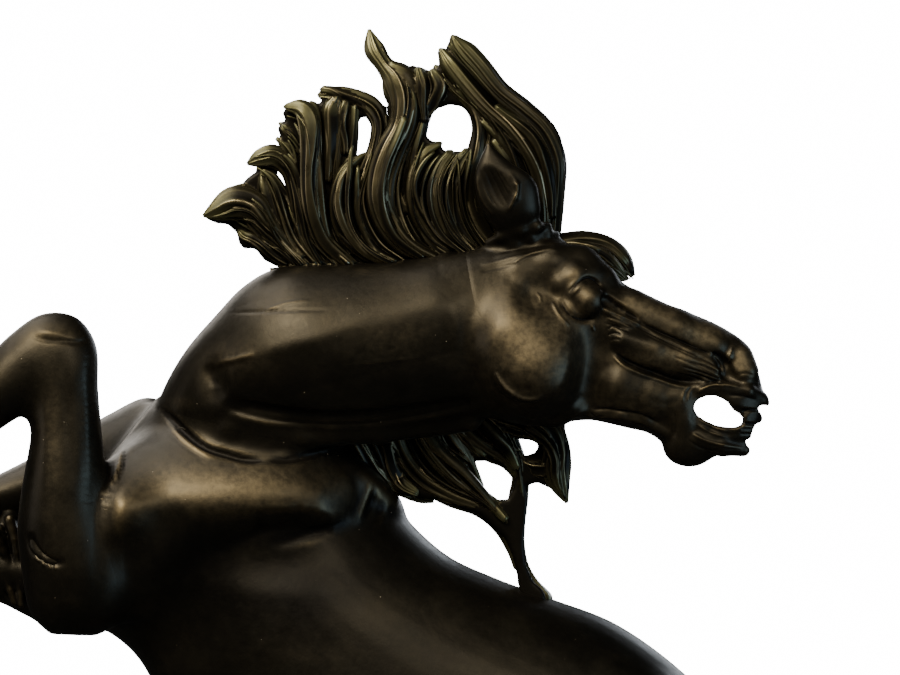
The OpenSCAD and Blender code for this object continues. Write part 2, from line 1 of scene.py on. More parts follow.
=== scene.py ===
import math
import json
import time
import bpy
import bmesh
import numpy as np
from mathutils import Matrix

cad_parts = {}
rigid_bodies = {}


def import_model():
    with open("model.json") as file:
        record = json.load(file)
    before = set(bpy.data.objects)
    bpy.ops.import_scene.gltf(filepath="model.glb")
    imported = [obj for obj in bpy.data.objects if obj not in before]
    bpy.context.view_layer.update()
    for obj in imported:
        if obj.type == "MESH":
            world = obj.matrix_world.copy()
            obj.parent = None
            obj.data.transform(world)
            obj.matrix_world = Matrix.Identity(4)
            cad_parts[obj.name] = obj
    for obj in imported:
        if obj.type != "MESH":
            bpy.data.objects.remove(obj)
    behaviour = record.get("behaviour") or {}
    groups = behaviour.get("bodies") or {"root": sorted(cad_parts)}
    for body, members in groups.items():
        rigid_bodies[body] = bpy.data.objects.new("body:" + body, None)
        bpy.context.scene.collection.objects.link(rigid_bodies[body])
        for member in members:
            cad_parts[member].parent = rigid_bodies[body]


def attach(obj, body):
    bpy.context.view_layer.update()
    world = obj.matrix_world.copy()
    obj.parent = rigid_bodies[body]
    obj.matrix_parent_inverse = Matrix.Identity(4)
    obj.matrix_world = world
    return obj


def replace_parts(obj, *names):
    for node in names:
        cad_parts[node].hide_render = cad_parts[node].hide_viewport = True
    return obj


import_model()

import openvdb as vdb

T0 = time.time()

# a fresh Blender file brings a default cube, light and camera: none of them belong here
for spare in ("Cube", "Light", "Camera"):
    if spare in bpy.data.objects:
        bpy.data.objects.remove(bpy.data.objects[spare], do_unlink=True)
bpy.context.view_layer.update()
RNG = np.random.RandomState(7)

# ------------------------------------------------------------------ pointing frame
# u runs along the horse, v runs down, y runs across (towards its right side); all in divisions of S millimetres
S = 0.36
CAMX, CAMZ, CAMD = -18.0, 389.7, 2600.0


def fade(v):
    w = np.clip((900.0 - v) / 280.0, 0, 1)
    return w * w * (3 - 2 * w)


def W(u, v, y):
    u, v, y = np.broadcast_arrays(np.asarray(u, float), np.asarray(v, float), np.asarray(y, float))
    f = 1 + fade(v) * y * S / CAMD
    return np.stack([CAMX + (u - 450) * S * f, y * S, CAMZ + (337.5 - v) * S * f], -1)


def UV(p):
    f = np.ones(len(p))
    for _ in range(3):
        v = 337.5 - (p[:, 2] - CAMZ) / (S * f)
        f = 1 + fade(v) * p[:, 1] / CAMD
    return 450 + (p[:, 0] - CAMX) / (S * f), 337.5 - (p[:, 2] - CAMZ) / (S * f), p[:, 1] / S


def dense(T, n):
    T = np.asarray(T, float)
    P = np.vstack([T[:1], T, T[-1:]])
    out = []
    t = np.arange(n)[:, None] / n
    for i in range(len(T) - 1):
        a, b, c, d = P[i], P[i + 1], P[i + 2], P[i + 3]
        out.append(0.5 * (2 * b + (c - a) * t + (2 * a - 5 * b + 4 * c - d) * t * t + (3 * b - a - 3 * c + d) * t ** 3))
    out.append(T[-1:])
    return np.vstack(out)


def skin_mesh(R):
    """Closed tube over rings R (n, m, 3): points, quads, triangles."""
    n, m = R.shape[:2]
    c0, c1 = R[0].mean(0), R[-1].mean(0)
    pts = np.vstack([R.reshape(-1, 3), c0[None], c1[None]])
    i, k = np.meshgrid(np.arange(n - 1), np.arange(m), indexing="ij")
    l = (k + 1) % m
    quads = np.stack([i * m + k, i * m + l, (i + 1) * m + l, (i + 1) * m + k], -1).reshape(-1, 4)
    k = np.arange(m)
    l = (k + 1) % m
    a = np.stack([l, k, np.full(m, n * m)], -1)
    b = np.stack([(n - 1) * m + k, (n - 1) * m + l, np.full(m, n * m + 1)], -1)
    return pts, quads, np.vstack([a, b])


def limb_mesh(T, n=8, m=48, power=2.0):
    D = dense(T, n)
    A = W(D[:, 0], D[:, 1], D[:, 2])
    B = W(D[:, 3], D[:, 4], D[:, 5])
    C, E = (A + B) / 2, (A - B) / 2
    H = np.zeros_like(E)
    H[:, 1] = D[:, 6] * S
    t = np.arange(m) / m * 2 * np.pi
    c, s = np.cos(t), np.sin(t)
    e = 2 / power
    c, s = np.sign(c) * np.abs(c) ** e, np.sign(s) * np.abs(s) ** e
    R = C[:, None] + E[:, None] * c[None, :, None] + H[:, None] * s[None, :, None]
    return skin_mesh(R)


def merge(meshes):
    P, Q, T, o = [], [], [], 0
    for p, q, t in meshes:
        P.append(p)
        Q.append(q + o)
        T.append(t + o)
        o += len(p)
    return np.vstack(P), np.vstack(Q), np.vstack(T)


# ------------------------------------------------------------------ volumes
class Vol:
    def __init__(self, lo, hi, h, band=9.0):
        self.h, self.band = h, band
        self.i0 = np.floor(np.asarray(lo) / h).astype(int)
        self.n = np.ceil(np.asarray(hi) / h).astype(int) - self.i0 + 1
        self.ax = [((self.i0[k] + np.arange(self.n[k])) * h).astype(np.float32) for k in range(3)]
        self.a = np.full(self.n, band, np.float32)

    def mesh(self, m):
        p, q, t = m
        g = vdb.FloatGrid.createLevelSetFromPolygons(
            p.astype(np.float32), triangles=t.astype(np.uint32), quads=q.astype(np.uint32),
            transform=vdb.createLinearTransform(voxelSize=self.h), halfWidth=self.band / self.h)
        out = np.empty(self.n, np.float32)
        g.copyToArray(out, ijk=tuple(int(x) for x in self.i0))
        return out

    def box(self, lo, hi):
        s = []
        for k in range(3):
            a = int(np.clip(np.floor(lo[k] / self.h) - self.i0[k], 0, self.n[k]))
            b = int(np.clip(np.ceil(hi[k] / self.h) - self.i0[k] + 1, 0, self.n[k]))
            s.append(slice(a, b))
        return tuple(s)

    def xyz(self, s):
        return self.ax[0][s[0]][:, None, None], self.ax[1][s[1]][None, :, None], self.ax[2][s[2]][None, None, :]

    def polys(self, a, iso=0.0):
        g = vdb.FloatGrid(self.band)
        g.copyFromArray(np.ascontiguousarray(a), ijk=tuple(int(x) for x in self.i0), tolerance=1e-6)
        g.transform = vdb.createLinearTransform(voxelSize=self.h)
        p, t, q = g.convertToPolygons(iso, 0.0)
        return p.astype(float), q, t


def sample(vol, F, p):
    """Trilinear value of the field F at points."""
    g = [(p[:, k] - vol.ax[k][0]) / vol.h for k in range(3)]
    i = [np.clip(np.floor(x).astype(int), 0, F.shape[k] - 2) for k, x in enumerate(g)]
    f = [np.clip(g[k] - i[k], 0, 1) for k in range(3)]
    out = 0
    for a in (0, 1):
        for b in (0, 1):
            for c in (0, 1):
                w = (f[0] if a else 1 - f[0]) * (f[1] if b else 1 - f[1]) * (f[2] if c else 1 - f[2])
                out = out + w * F[i[0] + a, i[1] + b, i[2] + c]
    return out


def smin(a, b, k):
    h = np.clip(0.5 + 0.5 * (b - a) / k, 0, 1)
    return b + (a - b) * h - k * h * (1 - h)


def blend_in(vol, a, s, d, k, cut=False):
    if a[s].size == 0:
        return
    if cut:
        a[s] = -smin(-a[s], d, k)
    else:
        a[s] = smin(a[s], d, k)


def cone_chain(vol, a, pts, k=3.0, cut=False, flat=1.0):
    """Round-ended cones through pts = [(u, v, y, r), ...]; flat squeezes them across."""
    P = [np.append(W(p[0], p[1], p[2]), p[3] * S) for p in pts]
    for p, q in zip(P[:-1], P[1:]):
        r = max(p[3], q[3]) + k + 1
        s = vol.box(np.minimum(p[:3], q[:3]) - r, np.maximum(p[:3], q[:3]) + r)
        X, Y, Z = vol.xyz(s)
        d = (q - p)[:3]
        L = max(float(d @ d), 1e-6)
        t = np.clip(((X - p[0]) * d[0] + (Y - p[1]) * d[1] + (Z - p[2]) * d[2]) / L, 0, 1)
        dist = np.sqrt((X - p[0] - t * d[0]) ** 2 + ((Y - p[1] - t * d[1]) / flat) ** 2 + (Z - p[2] - t * d[2]) ** 2)
        blend_in(vol, a, s, dist - (p[3] + t * (q[3] - p[3])), k, cut)


def egg(vol, a, p, q, r_in, r_across, k=4.0, cut=False):
    """Ellipsoid with its long axis from p to q (u, v, y), radius r_in in the plane and r_across."""
    A, B = W(*p), W(*q)
    C, d = (A + B) / 2, (B - A)
    L = np.linalg.norm(d)
    e1 = d / L
    e2 = np.cross(e1, [0, 1, 0])
    e2 /= np.linalg.norm(e2)
    e3 = np.cross(e1, e2)
    r = np.array([L / 2, r_in * S, r_across * S])
    ext = np.sqrt((e1 * r[0]) ** 2 + (e2 * r[1]) ** 2 + (e3 * r[2]) ** 2) + k + 1
    s = vol.box(C - ext, C + ext)
    X, Y, Z = vol.xyz(s)
    x, y, z = X - C[0], Y - C[1], Z - C[2]
    c = [x * e[0] + y * e[1] + z * e[2] for e in (e1, e2, e3)]
    k0 = np.sqrt((c[0] / r[0]) ** 2 + (c[1] / r[1]) ** 2 + (c[2] / r[2]) ** 2)
    k1 = np.sqrt((c[0] / r[0] ** 2) ** 2 + (c[1] / r[1] ** 2) ** 2 + (c[2] / r[2] ** 2) ** 2)
    blend_in(vol, a, s, k0 * (k0 - 1) / np.maximum(k1, 1e-4), k, cut)


def blur(a, sigma):
    r = max(1, int(math.ceil(sigma * 2.5)))
    w = np.exp(-0.5 * (np.arange(-r, r + 1) / sigma) ** 2)
    w /= w.sum()
    for ax in range(3):
        out = np.zeros_like(a)
        n = a.shape[ax]
        for j, wt in zip(range(-r, r + 1), w):
            src = [slice(None)] * 3
            dst = [slice(None)] * 3
            src[ax] = slice(max(0, j), n + min(0, j))
            dst[ax] = slice(max(0, -j), n + min(0, -j))
            out[tuple(dst)] += np.float32(wt) * a[tuple(src)]
            edge = [slice(None)] * 3
            if j > 0:
                edge[ax] = slice(n - j, n)
                last = [slice(None)] * 3
                last[ax] = slice(n - 1, n)
                out[tuple(edge)] += np.float32(wt) * a[tuple(last)]
            elif j < 0:
                edge[ax] = slice(0, -j)
                first = [slice(None)] * 3
                first[ax] = slice(0, 1)
                out[tuple(edge)] += np.float32(wt) * a[tuple(first)]
        a = out
    return a


# ------------------------------------------------------------------ meshes
def edges_of(faces):
    E = []
    for f in faces:
        if len(f):
            for i in range(f.shape[1]):
                E.append(np.stack([f[:, i], f[:, (i + 1) % f.shape[1]]], -1))
    return np.vstack(E)


def vertex_normals(p, q, t):
    N = np.zeros_like(p)
    for f in (q, t):
        if not len(f):
            continue
        a, b, c = p[f[:, 0]], p[f[:, 1]], p[f[:, 2]]
        n = np.cross(p[f[:, 2]] - a, p[f[:, 3]] - b) if f.shape[1] == 4 else np.cross(b - a, c - a)
        for i in range(f.shape[1]):
            for k in range(3):
                N[:, k] += np.bincount(f[:, i], n[:, k], len(p))
    return N / np.maximum(np.linalg.norm(N, axis=1), 1e-9)[:, None]


def average(x, E, n):
    """One pass of neighbour averaging of x over the edges E."""
    deg = np.maximum(np.bincount(E[:, 0], minlength=n), 1)
    if x.ndim == 1:
        return np.bincount(E[:, 0], x[E[:, 1]], n) / deg
    return np.stack([np.bincount(E[:, 0], x[E[:, 1], k], n) / deg for k in range(x.shape[1])], -1)


def relax(p, q, t, n=2, f=0.5):
    E = edges_of((q, t))
    E = np.vstack([E, E[:, ::-1]])
    for _ in range(n):
        p = p + f * (average(p, E, len(p)) - p)
    return p


def curvature(p, N, q, t, passes=3):
    """Positive on ridges, negative in hollows."""
    E = edges_of((q, t))
    E = np.vstack([E, E[:, ::-1]])
    c = -np.einsum("ij,ij->i", average(p, E, len(p)) - p, N)
    for _ in range(passes):
        c = 0.5 * c + 0.5 * average(c, E, len(p))
    return c


def poly_dist(u, v, line):
    """Distance from points to a polyline and the place along it, 0 to 1."""
    L = np.asarray(line, float)
    best = np.full(len(u), 1e9)
    place = np.zeros(len(u))
    side = np.zeros(len(u))
    seg = np.linalg.norm(np.diff(L, axis=0), axis=1)
    acc = np.concatenate([[0], np.cumsum(seg)])
    for i in range(len(L) - 1):
        d = L[i + 1] - L[i]
        t = np.clip(((u - L[i, 0]) * d[0] + (v - L[i, 1]) * d[1]) / max(d @ d, 1e-9), 0, 1)
        dx, dy = u - L[i, 0] - t * d[0], v - L[i, 1] - t * d[1]
        r = np.hypot(dx, dy)
        m = r < best
        best[m] = r[m]
        place[m] = ((acc[i] + t * seg[i]) / acc[-1])[m]
        side[m] = np.sign(d[0] * dy - d[1] * dx)[m]
    return best, place, side


def smooth_line(line, n=4):
    return dense(np.asarray(line, float), n)


def stroke(p, N, line, width, depth, near=None, taper=0.25, kind="groove", curve=True):
    """Cuts (depth < 0) or raises (depth > 0) the surface along a line of the side view. Millimetres of depth, divisions of width."""
    u, v, y = UV(p)
    L = smooth_line(line) if curve and len(line) > 2 else np.asarray(line, float)
    r = width * 3
    lo, hi = L.min(0) - r, L.max(0) + r
    m = (u > lo[0]) & (u < hi[0]) & (v > lo[1]) & (v < hi[1])
    if near is not None:
        m &= near(y)
    i = np.where(m)[0]
    if not len(i):
        return p
    d, s, side = poly_dist(u[i], v[i], L)
    if taper > 0:
        e = np.clip(np.minimum(s, 1 - s) / taper, 0, 1)
        e = np.sin(e * np.pi / 2)
    else:
        e = 1.0
    if kind == "groove":
        g = np.exp(-(d / width) ** 2)
    elif kind == "sharp":
        g = np.clip(1 - d / width, 0, 1) ** 1.5
    elif kind == "step":
        g = np.exp(-(d / width) ** 2) * side
    elif kind == "lip":
        g = np.exp(-(d / width) ** 2) - 0.55 * np.exp(-((d - 1.6 * width) / (0.8 * width)) ** 2)
    face = np.clip(np.abs(N[i, 1]) * 2.2, 0, 1)
    q = p.copy()
    q[i] += N[i] * (g * e * face * depth)[:, None]
    return q


def to_object(name, p, q, t, attrs=None):
    me = bpy.data.meshes.new(name)
    nq, nt = len(q), len(t)
    me.vertices.add(len(p))
    me.vertices.foreach_set("co", (p * 0.001).astype(np.float32).ravel())
    loops = np.concatenate([q.ravel(), t.ravel()]).astype(np.int32) if nt else q.ravel().astype(np.int32)
    me.loops.add(len(loops))
    me.loops.foreach_set("vertex_index", loops)
    me.polygons.add(nq + nt)
    starts = np.concatenate([np.arange(nq) * 4, nq * 4 + np.arange(nt) * 3]).astype(np.int32)
    me.polygons.foreach_set("loop_start", starts)
    me.update(calc_edges=True)
    me.validate()
    me.polygons.foreach_set("use_smooth", np.ones(len(me.polygons), bool))
    for k, x in (attrs or {}).items():
        at = me.attributes.new(k, "FLOAT", "POINT")
        at.data.foreach_set("value", x.astype(np.float32))
    ob = bpy.data.objects.new(name, me)
    bpy.context.scene.collection.objects.link(ob)
    return ob


def largest(p, q, t):
    """Keeps the largest connected piece and drops loose crumbs."""
    n = len(p)
    E = edges_of((q, t))
    lab = np.arange(n)
    while True:
        m = np.minimum(lab[E[:, 0]], lab[E[:, 1]])
        new = lab.copy()
        np.minimum.at(new, E[:, 0], m)
        np.minimum.at(new, E[:, 1], m)
        new = new[new]
        new = new[new]
        if (new == lab).all():
            break
        lab = new
    ids, cnt = np.unique(lab, return_counts=True)
    keep = lab == ids[cnt.argmax()]
    if keep.all():
        return p, q, t
    idx = np.cumsum(keep) - 1
    return p[keep], idx[q[keep[q[:, 0]]]] if len(q) else q, idx[t[keep[t[:, 0]]]] if len(t) else t


# ------------------------------------------------------------------ tables of the sculpture
TRUNK = [
    [158, 398, 10, 84, 492, 10, 30], [205, 402, 6, 62, 548, 6, 76], [285, 425, 0, 72, 612, 0, 96], [358, 462, 0, 112, 634, 0, 100],
    [398, 510, 0, 140, 660, 0, 104], [445, 554, 0, 168, 708, 0, 110], [495, 578, 0, 215, 768, 0, 113], [552, 599, 0, 275, 826, 0, 116],
    [616, 624, 0, 345, 876, 0, 116], [678, 668, 0, 420, 914, 0, 112], [732, 724, 0, 495, 934, 0, 104], [770, 788, 0, 575, 946, 0, 88],
    [784, 848, 0, 655, 944, 0, 60], [776, 888, 0, 715, 925, 0, 24]]
NECK = [
    [148, 470, -4, 340, 540, -4, 60], [152, 425, -8, 350, 492, -8, 72], [164, 388, -20, 345, 464, -20, 74], [186, 350, -34, 338, 450, -34, 72],
    [216, 315, -48, 335, 445, -48, 70], [244, 286, -58, 342, 443, -58, 66], [278, 268, -64, 362, 438, -64, 63], [330, 264, -66, 392, 435, -66, 60],
    [386, 262, -68, 430, 428, -68, 56], [430, 255, -70, 468, 420, -70, 52], [470, 249, -70, 502, 415, -70, 49], [500, 244, -70, 524, 416, -70, 47]]
HEAD = [
    [440, 254, -70, 476, 418, -70, 44], [470, 249, -70, 502, 415, -70, 47], [500, 243, -70, 526, 416, -70, 46], [530, 240, -70, 548, 420, -70, 45],
    [562, 246, -70, 568, 421, -70, 46], [596, 263, -70, 590, 420, -70, 45], [628, 286, -70, 607, 423, -70, 41],
    [662, 303, -70, 628, 428, -70, 35], [692, 314, -70, 648, 433, -70, 30], [716, 324, -70, 664, 444, -70, 27], [738, 337, -70, 676, 458, -70, 26],
    [750, 349, -70, 696, 462, -70, 26], [757, 368, -70, 720, 455, -70, 24], [764, 394, -70, 742, 452, -70, 15], [769, 403, -70, 752, 446, -70, 5]]
MOUTH = [[693, 409], [693.7, 403], [698, 398.5], [706, 395.4], [714, 395], [722, 398], [728.6, 402], [734, 410], [740.6, 414], [743.6, 418],
         [743.3, 422.6], [740.6, 426], [734, 428], [724.5, 427.3], [715, 425.3], [704.5, 420.6], [696.4, 415.3]]
LFORE = [
    [50, 634, -78, 96, 635, -78, 12], [30, 612, -80, 118, 620, -80, 32], [22, 572, -82, 126, 585, -82, 42], [17.5, 532, -84, 116, 540, -84, 44],
    [20.5, 498, -86, 106, 500, -86, 42], [26, 465, -88, 104, 460, -88, 38], [30.5, 438, -90, 101, 425, -90, 33], [29.5, 424, -90, 98, 388, -90, 31],
    [27, 420, -90, 96, 345, -90, 30], [25, 418, -90, 76, 317, -90, 29], [23, 417, -90, 42, 314, -90, 28], [19, 417, -90, 10, 335, -90, 27],
    [2, 428, -90, -14, 360, -90, 26], [-22, 446, -90, -42, 392, -90, 21], [-46, 468, -90, -70, 422, -90, 20], [-64, 490, -90, -96, 450, -90, 22],
    [-72, 514, -90, -118, 478, -90, 25], [-74, 532, -90, -118, 512, -90, 20], [-72, 546, -90, -114, 538, -90, 19], [-64, 560, -90, -116, 560, -90, 25],
    [-50, 586, -90, -112, 602, -90, 30]]
RFORE = [
    [190, 420, 52, 140, 530, 52, 42], [150, 398, 60, 98, 515, 60, 46], [110, 414, 66, 72, 512, 66, 42], [70, 438, 70, 42, 514, 70, 35],
    [28, 460, 72, 10, 518, 72, 29], [0, 474, 72, -8, 520, 72, 26], [-30, 488, 72, -32, 532, 72, 25], [-62, 498, 72, -44, 544, 72, 26],
    [-88, 516, 72, -50, 551, 72, 26], [-97, 546, 71, -55, 556, 71, 25], [-86, 576, 68, -55, 562, 68, 23], [-60, 590, 64, -45, 560, 64, 20],
    [-28, 594, 60, -24, 554, 60, 20], [-4, 600, 56, -6, 545, 56, 23], [16, 594, 52, 20, 552, 52, 19], [34, 600, 50, 38, 550, 50, 24],
    [62, 605, 48, 58, 538, 48, 29]]
HIND = [
    [590, 800, -60, 760, 775, -60, 40], [530, 850, -62, 786, 845, -62, 54], [496, 905, -64, 780, 905, -64, 60], [492, 950, -64, 752, 952, -64, 55],
    [514, 990, -64, 730, 985, -64, 47], [556, 1020, -63, 724, 1008, -63, 38], [602, 1046, -62, 726, 1028, -62, 30], [640, 1072, -62, 740, 1046, -62, 25],
    [654, 1098, -62, 726, 1084, -62, 22], [648, 1124, -62, 700, 1118, -62, 18], [632, 1156, -62, 680, 1156, -62, 16], [614, 1188, -62, 664, 1192, -62, 17],
    [590, 1214, -62, 652, 1224, -62, 20], [574, 1238, -62, 620, 1250, -62, 17], [556, 1260, -62, 612, 1268, -62, 22], [536, 1289.5, -62, 620, 1289.5, -62, 29]]
STRIDE = [0, 0, 0, 4, 8, 14, 20, 28, 34, 40, 46, 52, 56, 60, 60, 60]
HIND_R = [[r[0] + s, r[1], -r[2], r[3] + s, r[4], -r[5], r[6]] for r, s in zip(HIND, STRIDE)]

PIECES, SLOTS = {}, {}


def both(f):
    """Runs f for the two sides of the body, sign -1 for the left."""
    f(-1)
    f(1)


def sides(c, d):
    """Across positions on the two sides of a middle plane c."""
    return [c - d, c + d]


# ------------------------------------------------------------------ trunk, legs
BASE = {}


def surf_y(u, v, side):
    """Where a line across the horse at (u, v) first meets the plain body, from the side given."""
    if not BASE:
        vol = Vol((-236, -60, 44), (116, 60, 470), 1.4)
        f = vol.mesh(limb_mesh(TRUNK))
        f = smin(f, vol.mesh(limb_mesh(NECK)), 5.0)
        BASE["neck"] = (vol, f)
        BASE["head"] = (vol, smin(f, vol.mesh(limb_mesh(HEAD, power=2.25)), 2.0))
    vol, f = BASE["head"]
    ys = np.arange(-165, 165, 0.5) * (-side)
    P = W(np.full(len(ys), float(u)), np.full(len(ys), float(v)), ys)
    d = sample(vol, f, P)
    i = np.where(d < 0)[0]
    return ys[i[0]] if len(i) else None


def relief(vol, a, pts, k, cut=False, both=(-1, 1)):
    """A rounded swelling or hollow on the flanks: pts = (u, v, radius, height above or depth below the plain surface)."""
    for s_ in both:
        row = []
        for u, v, r, h in pts:
            y = surf_y(u, v, s_)
            if y is None:
                row = []
                break
            row.append((u, v, (y + s_ * (r - h)) if cut else (y - s_ * (r - h)), r))
        if row:
            cone_chain(vol, a, row if len(row) > 1 else row * 2, k, cut)


def body_field(vol):
    """Distance field of trunk and neck with their muscles, without the legs."""
    a = vol.mesh(limb_mesh(TRUNK))
    n = vol.mesh(limb_mesh(NECK))
    # neck meets the trunk softly in front and over the withers
    a = smin(a, n, 5.0)
    for s in (-1, 1):
        # shoulder: a broad dome from the point of the shoulder to the shoulder blade, overhanging the chest
        egg(vol, a, (96, 484, 52 * s), (360, 490, 50 * s), 50, 50, 9.0)
        # web of skin between the shoulder and the foreleg
        egg(vol, a, (96, 548, 84 * s), (148, 490, 70 * s), 32, 32, 10.0)
        # upper arm down to the elbow
        egg(vol, a, (62, 606, 72 * s), (210, 540, 60 * s), 36, 32, 9.0)
        # ribs and flank
        egg(vol, a, (250, 640, 46 * s), (440, 780, 58 * s), 66, 54, 9.0)
        # haunch
        egg(vol, a, (600, 700, 46 * s), (740, 860, 58 * s), 84, 54, 8.0)
        egg(vol, a, (530, 880, 60 * s), (740, 800, 60 * s), 76, 56, 8.0)
        # hollow under the shoulder and before the haunch
        egg(vol, a, (205, 562, 126 * s), (345, 556, 122 * s), 20, 20, 9.0, cut=True)
        egg(vol, a, (430, 820, 120 * s), (540, 770, 124 * s), 44, 24, 8.0, cut=True)
    # withers
    egg(vol, a, (322, 438, 0), (400, 514, 0), 17, 58, 5.0)
    # long muscles of the neck
    relief(vol, a, [(208, 374, 15, 2.2), (212, 390, 15, 2.4)], 4.0, cut=True)
    relief(vol, a, [(230, 406, 8, 2.6), (307, 419, 8, 3.4), (368, 419, 8, 3.4), (470, 405, 8, 2.0)], 1.8, cut=True)
    relief(vol, a, [(230, 428, 11, 3.0), (300, 436, 12, 3.6), (380, 431, 12, 3.6), (470, 419, 11, 2.6)], 2.2)
    return a


def leg_fields(vol):
    return {"left_foreleg": vol.mesh(limb_mesh(LFORE)), "right_foreleg": vol.mesh(limb_mesh(RFORE)),
            "left_hind_leg": vol.mesh(limb_mesh(HIND)), "right_hind_leg": vol.mesh(limb_mesh(HIND_R))}


def half_space(vol, p, n):
    """Distance to the plane through p with outward normal n; negative inside."""
    s = tuple(slice(0, k) for k in vol.n)
    X, Y, Z = vol.xyz(s)
    n = np.asarray(n, float) / np.linalg.norm(n)
    return ((X - p[0]) * n[0] + (Y - p[1]) * n[1] + (Z - p[2]) * n[2]).astype(np.float32)


SEAM_P, SEAM_N = W(250, 432, 0), np.array([0.243, 0.0, 0.97])     # neck above, trunk below
HEAD_P, HEAD_N = W(486, 330, -70), np.array([-0.98, 0.0, -0.19])   # head towards +X


def near_side(y):
    return y < -4


def any_side(y):
    return np.ones(len(y), bool)


def right_side_of_head(y):
    return np.ones(len(y), bool)


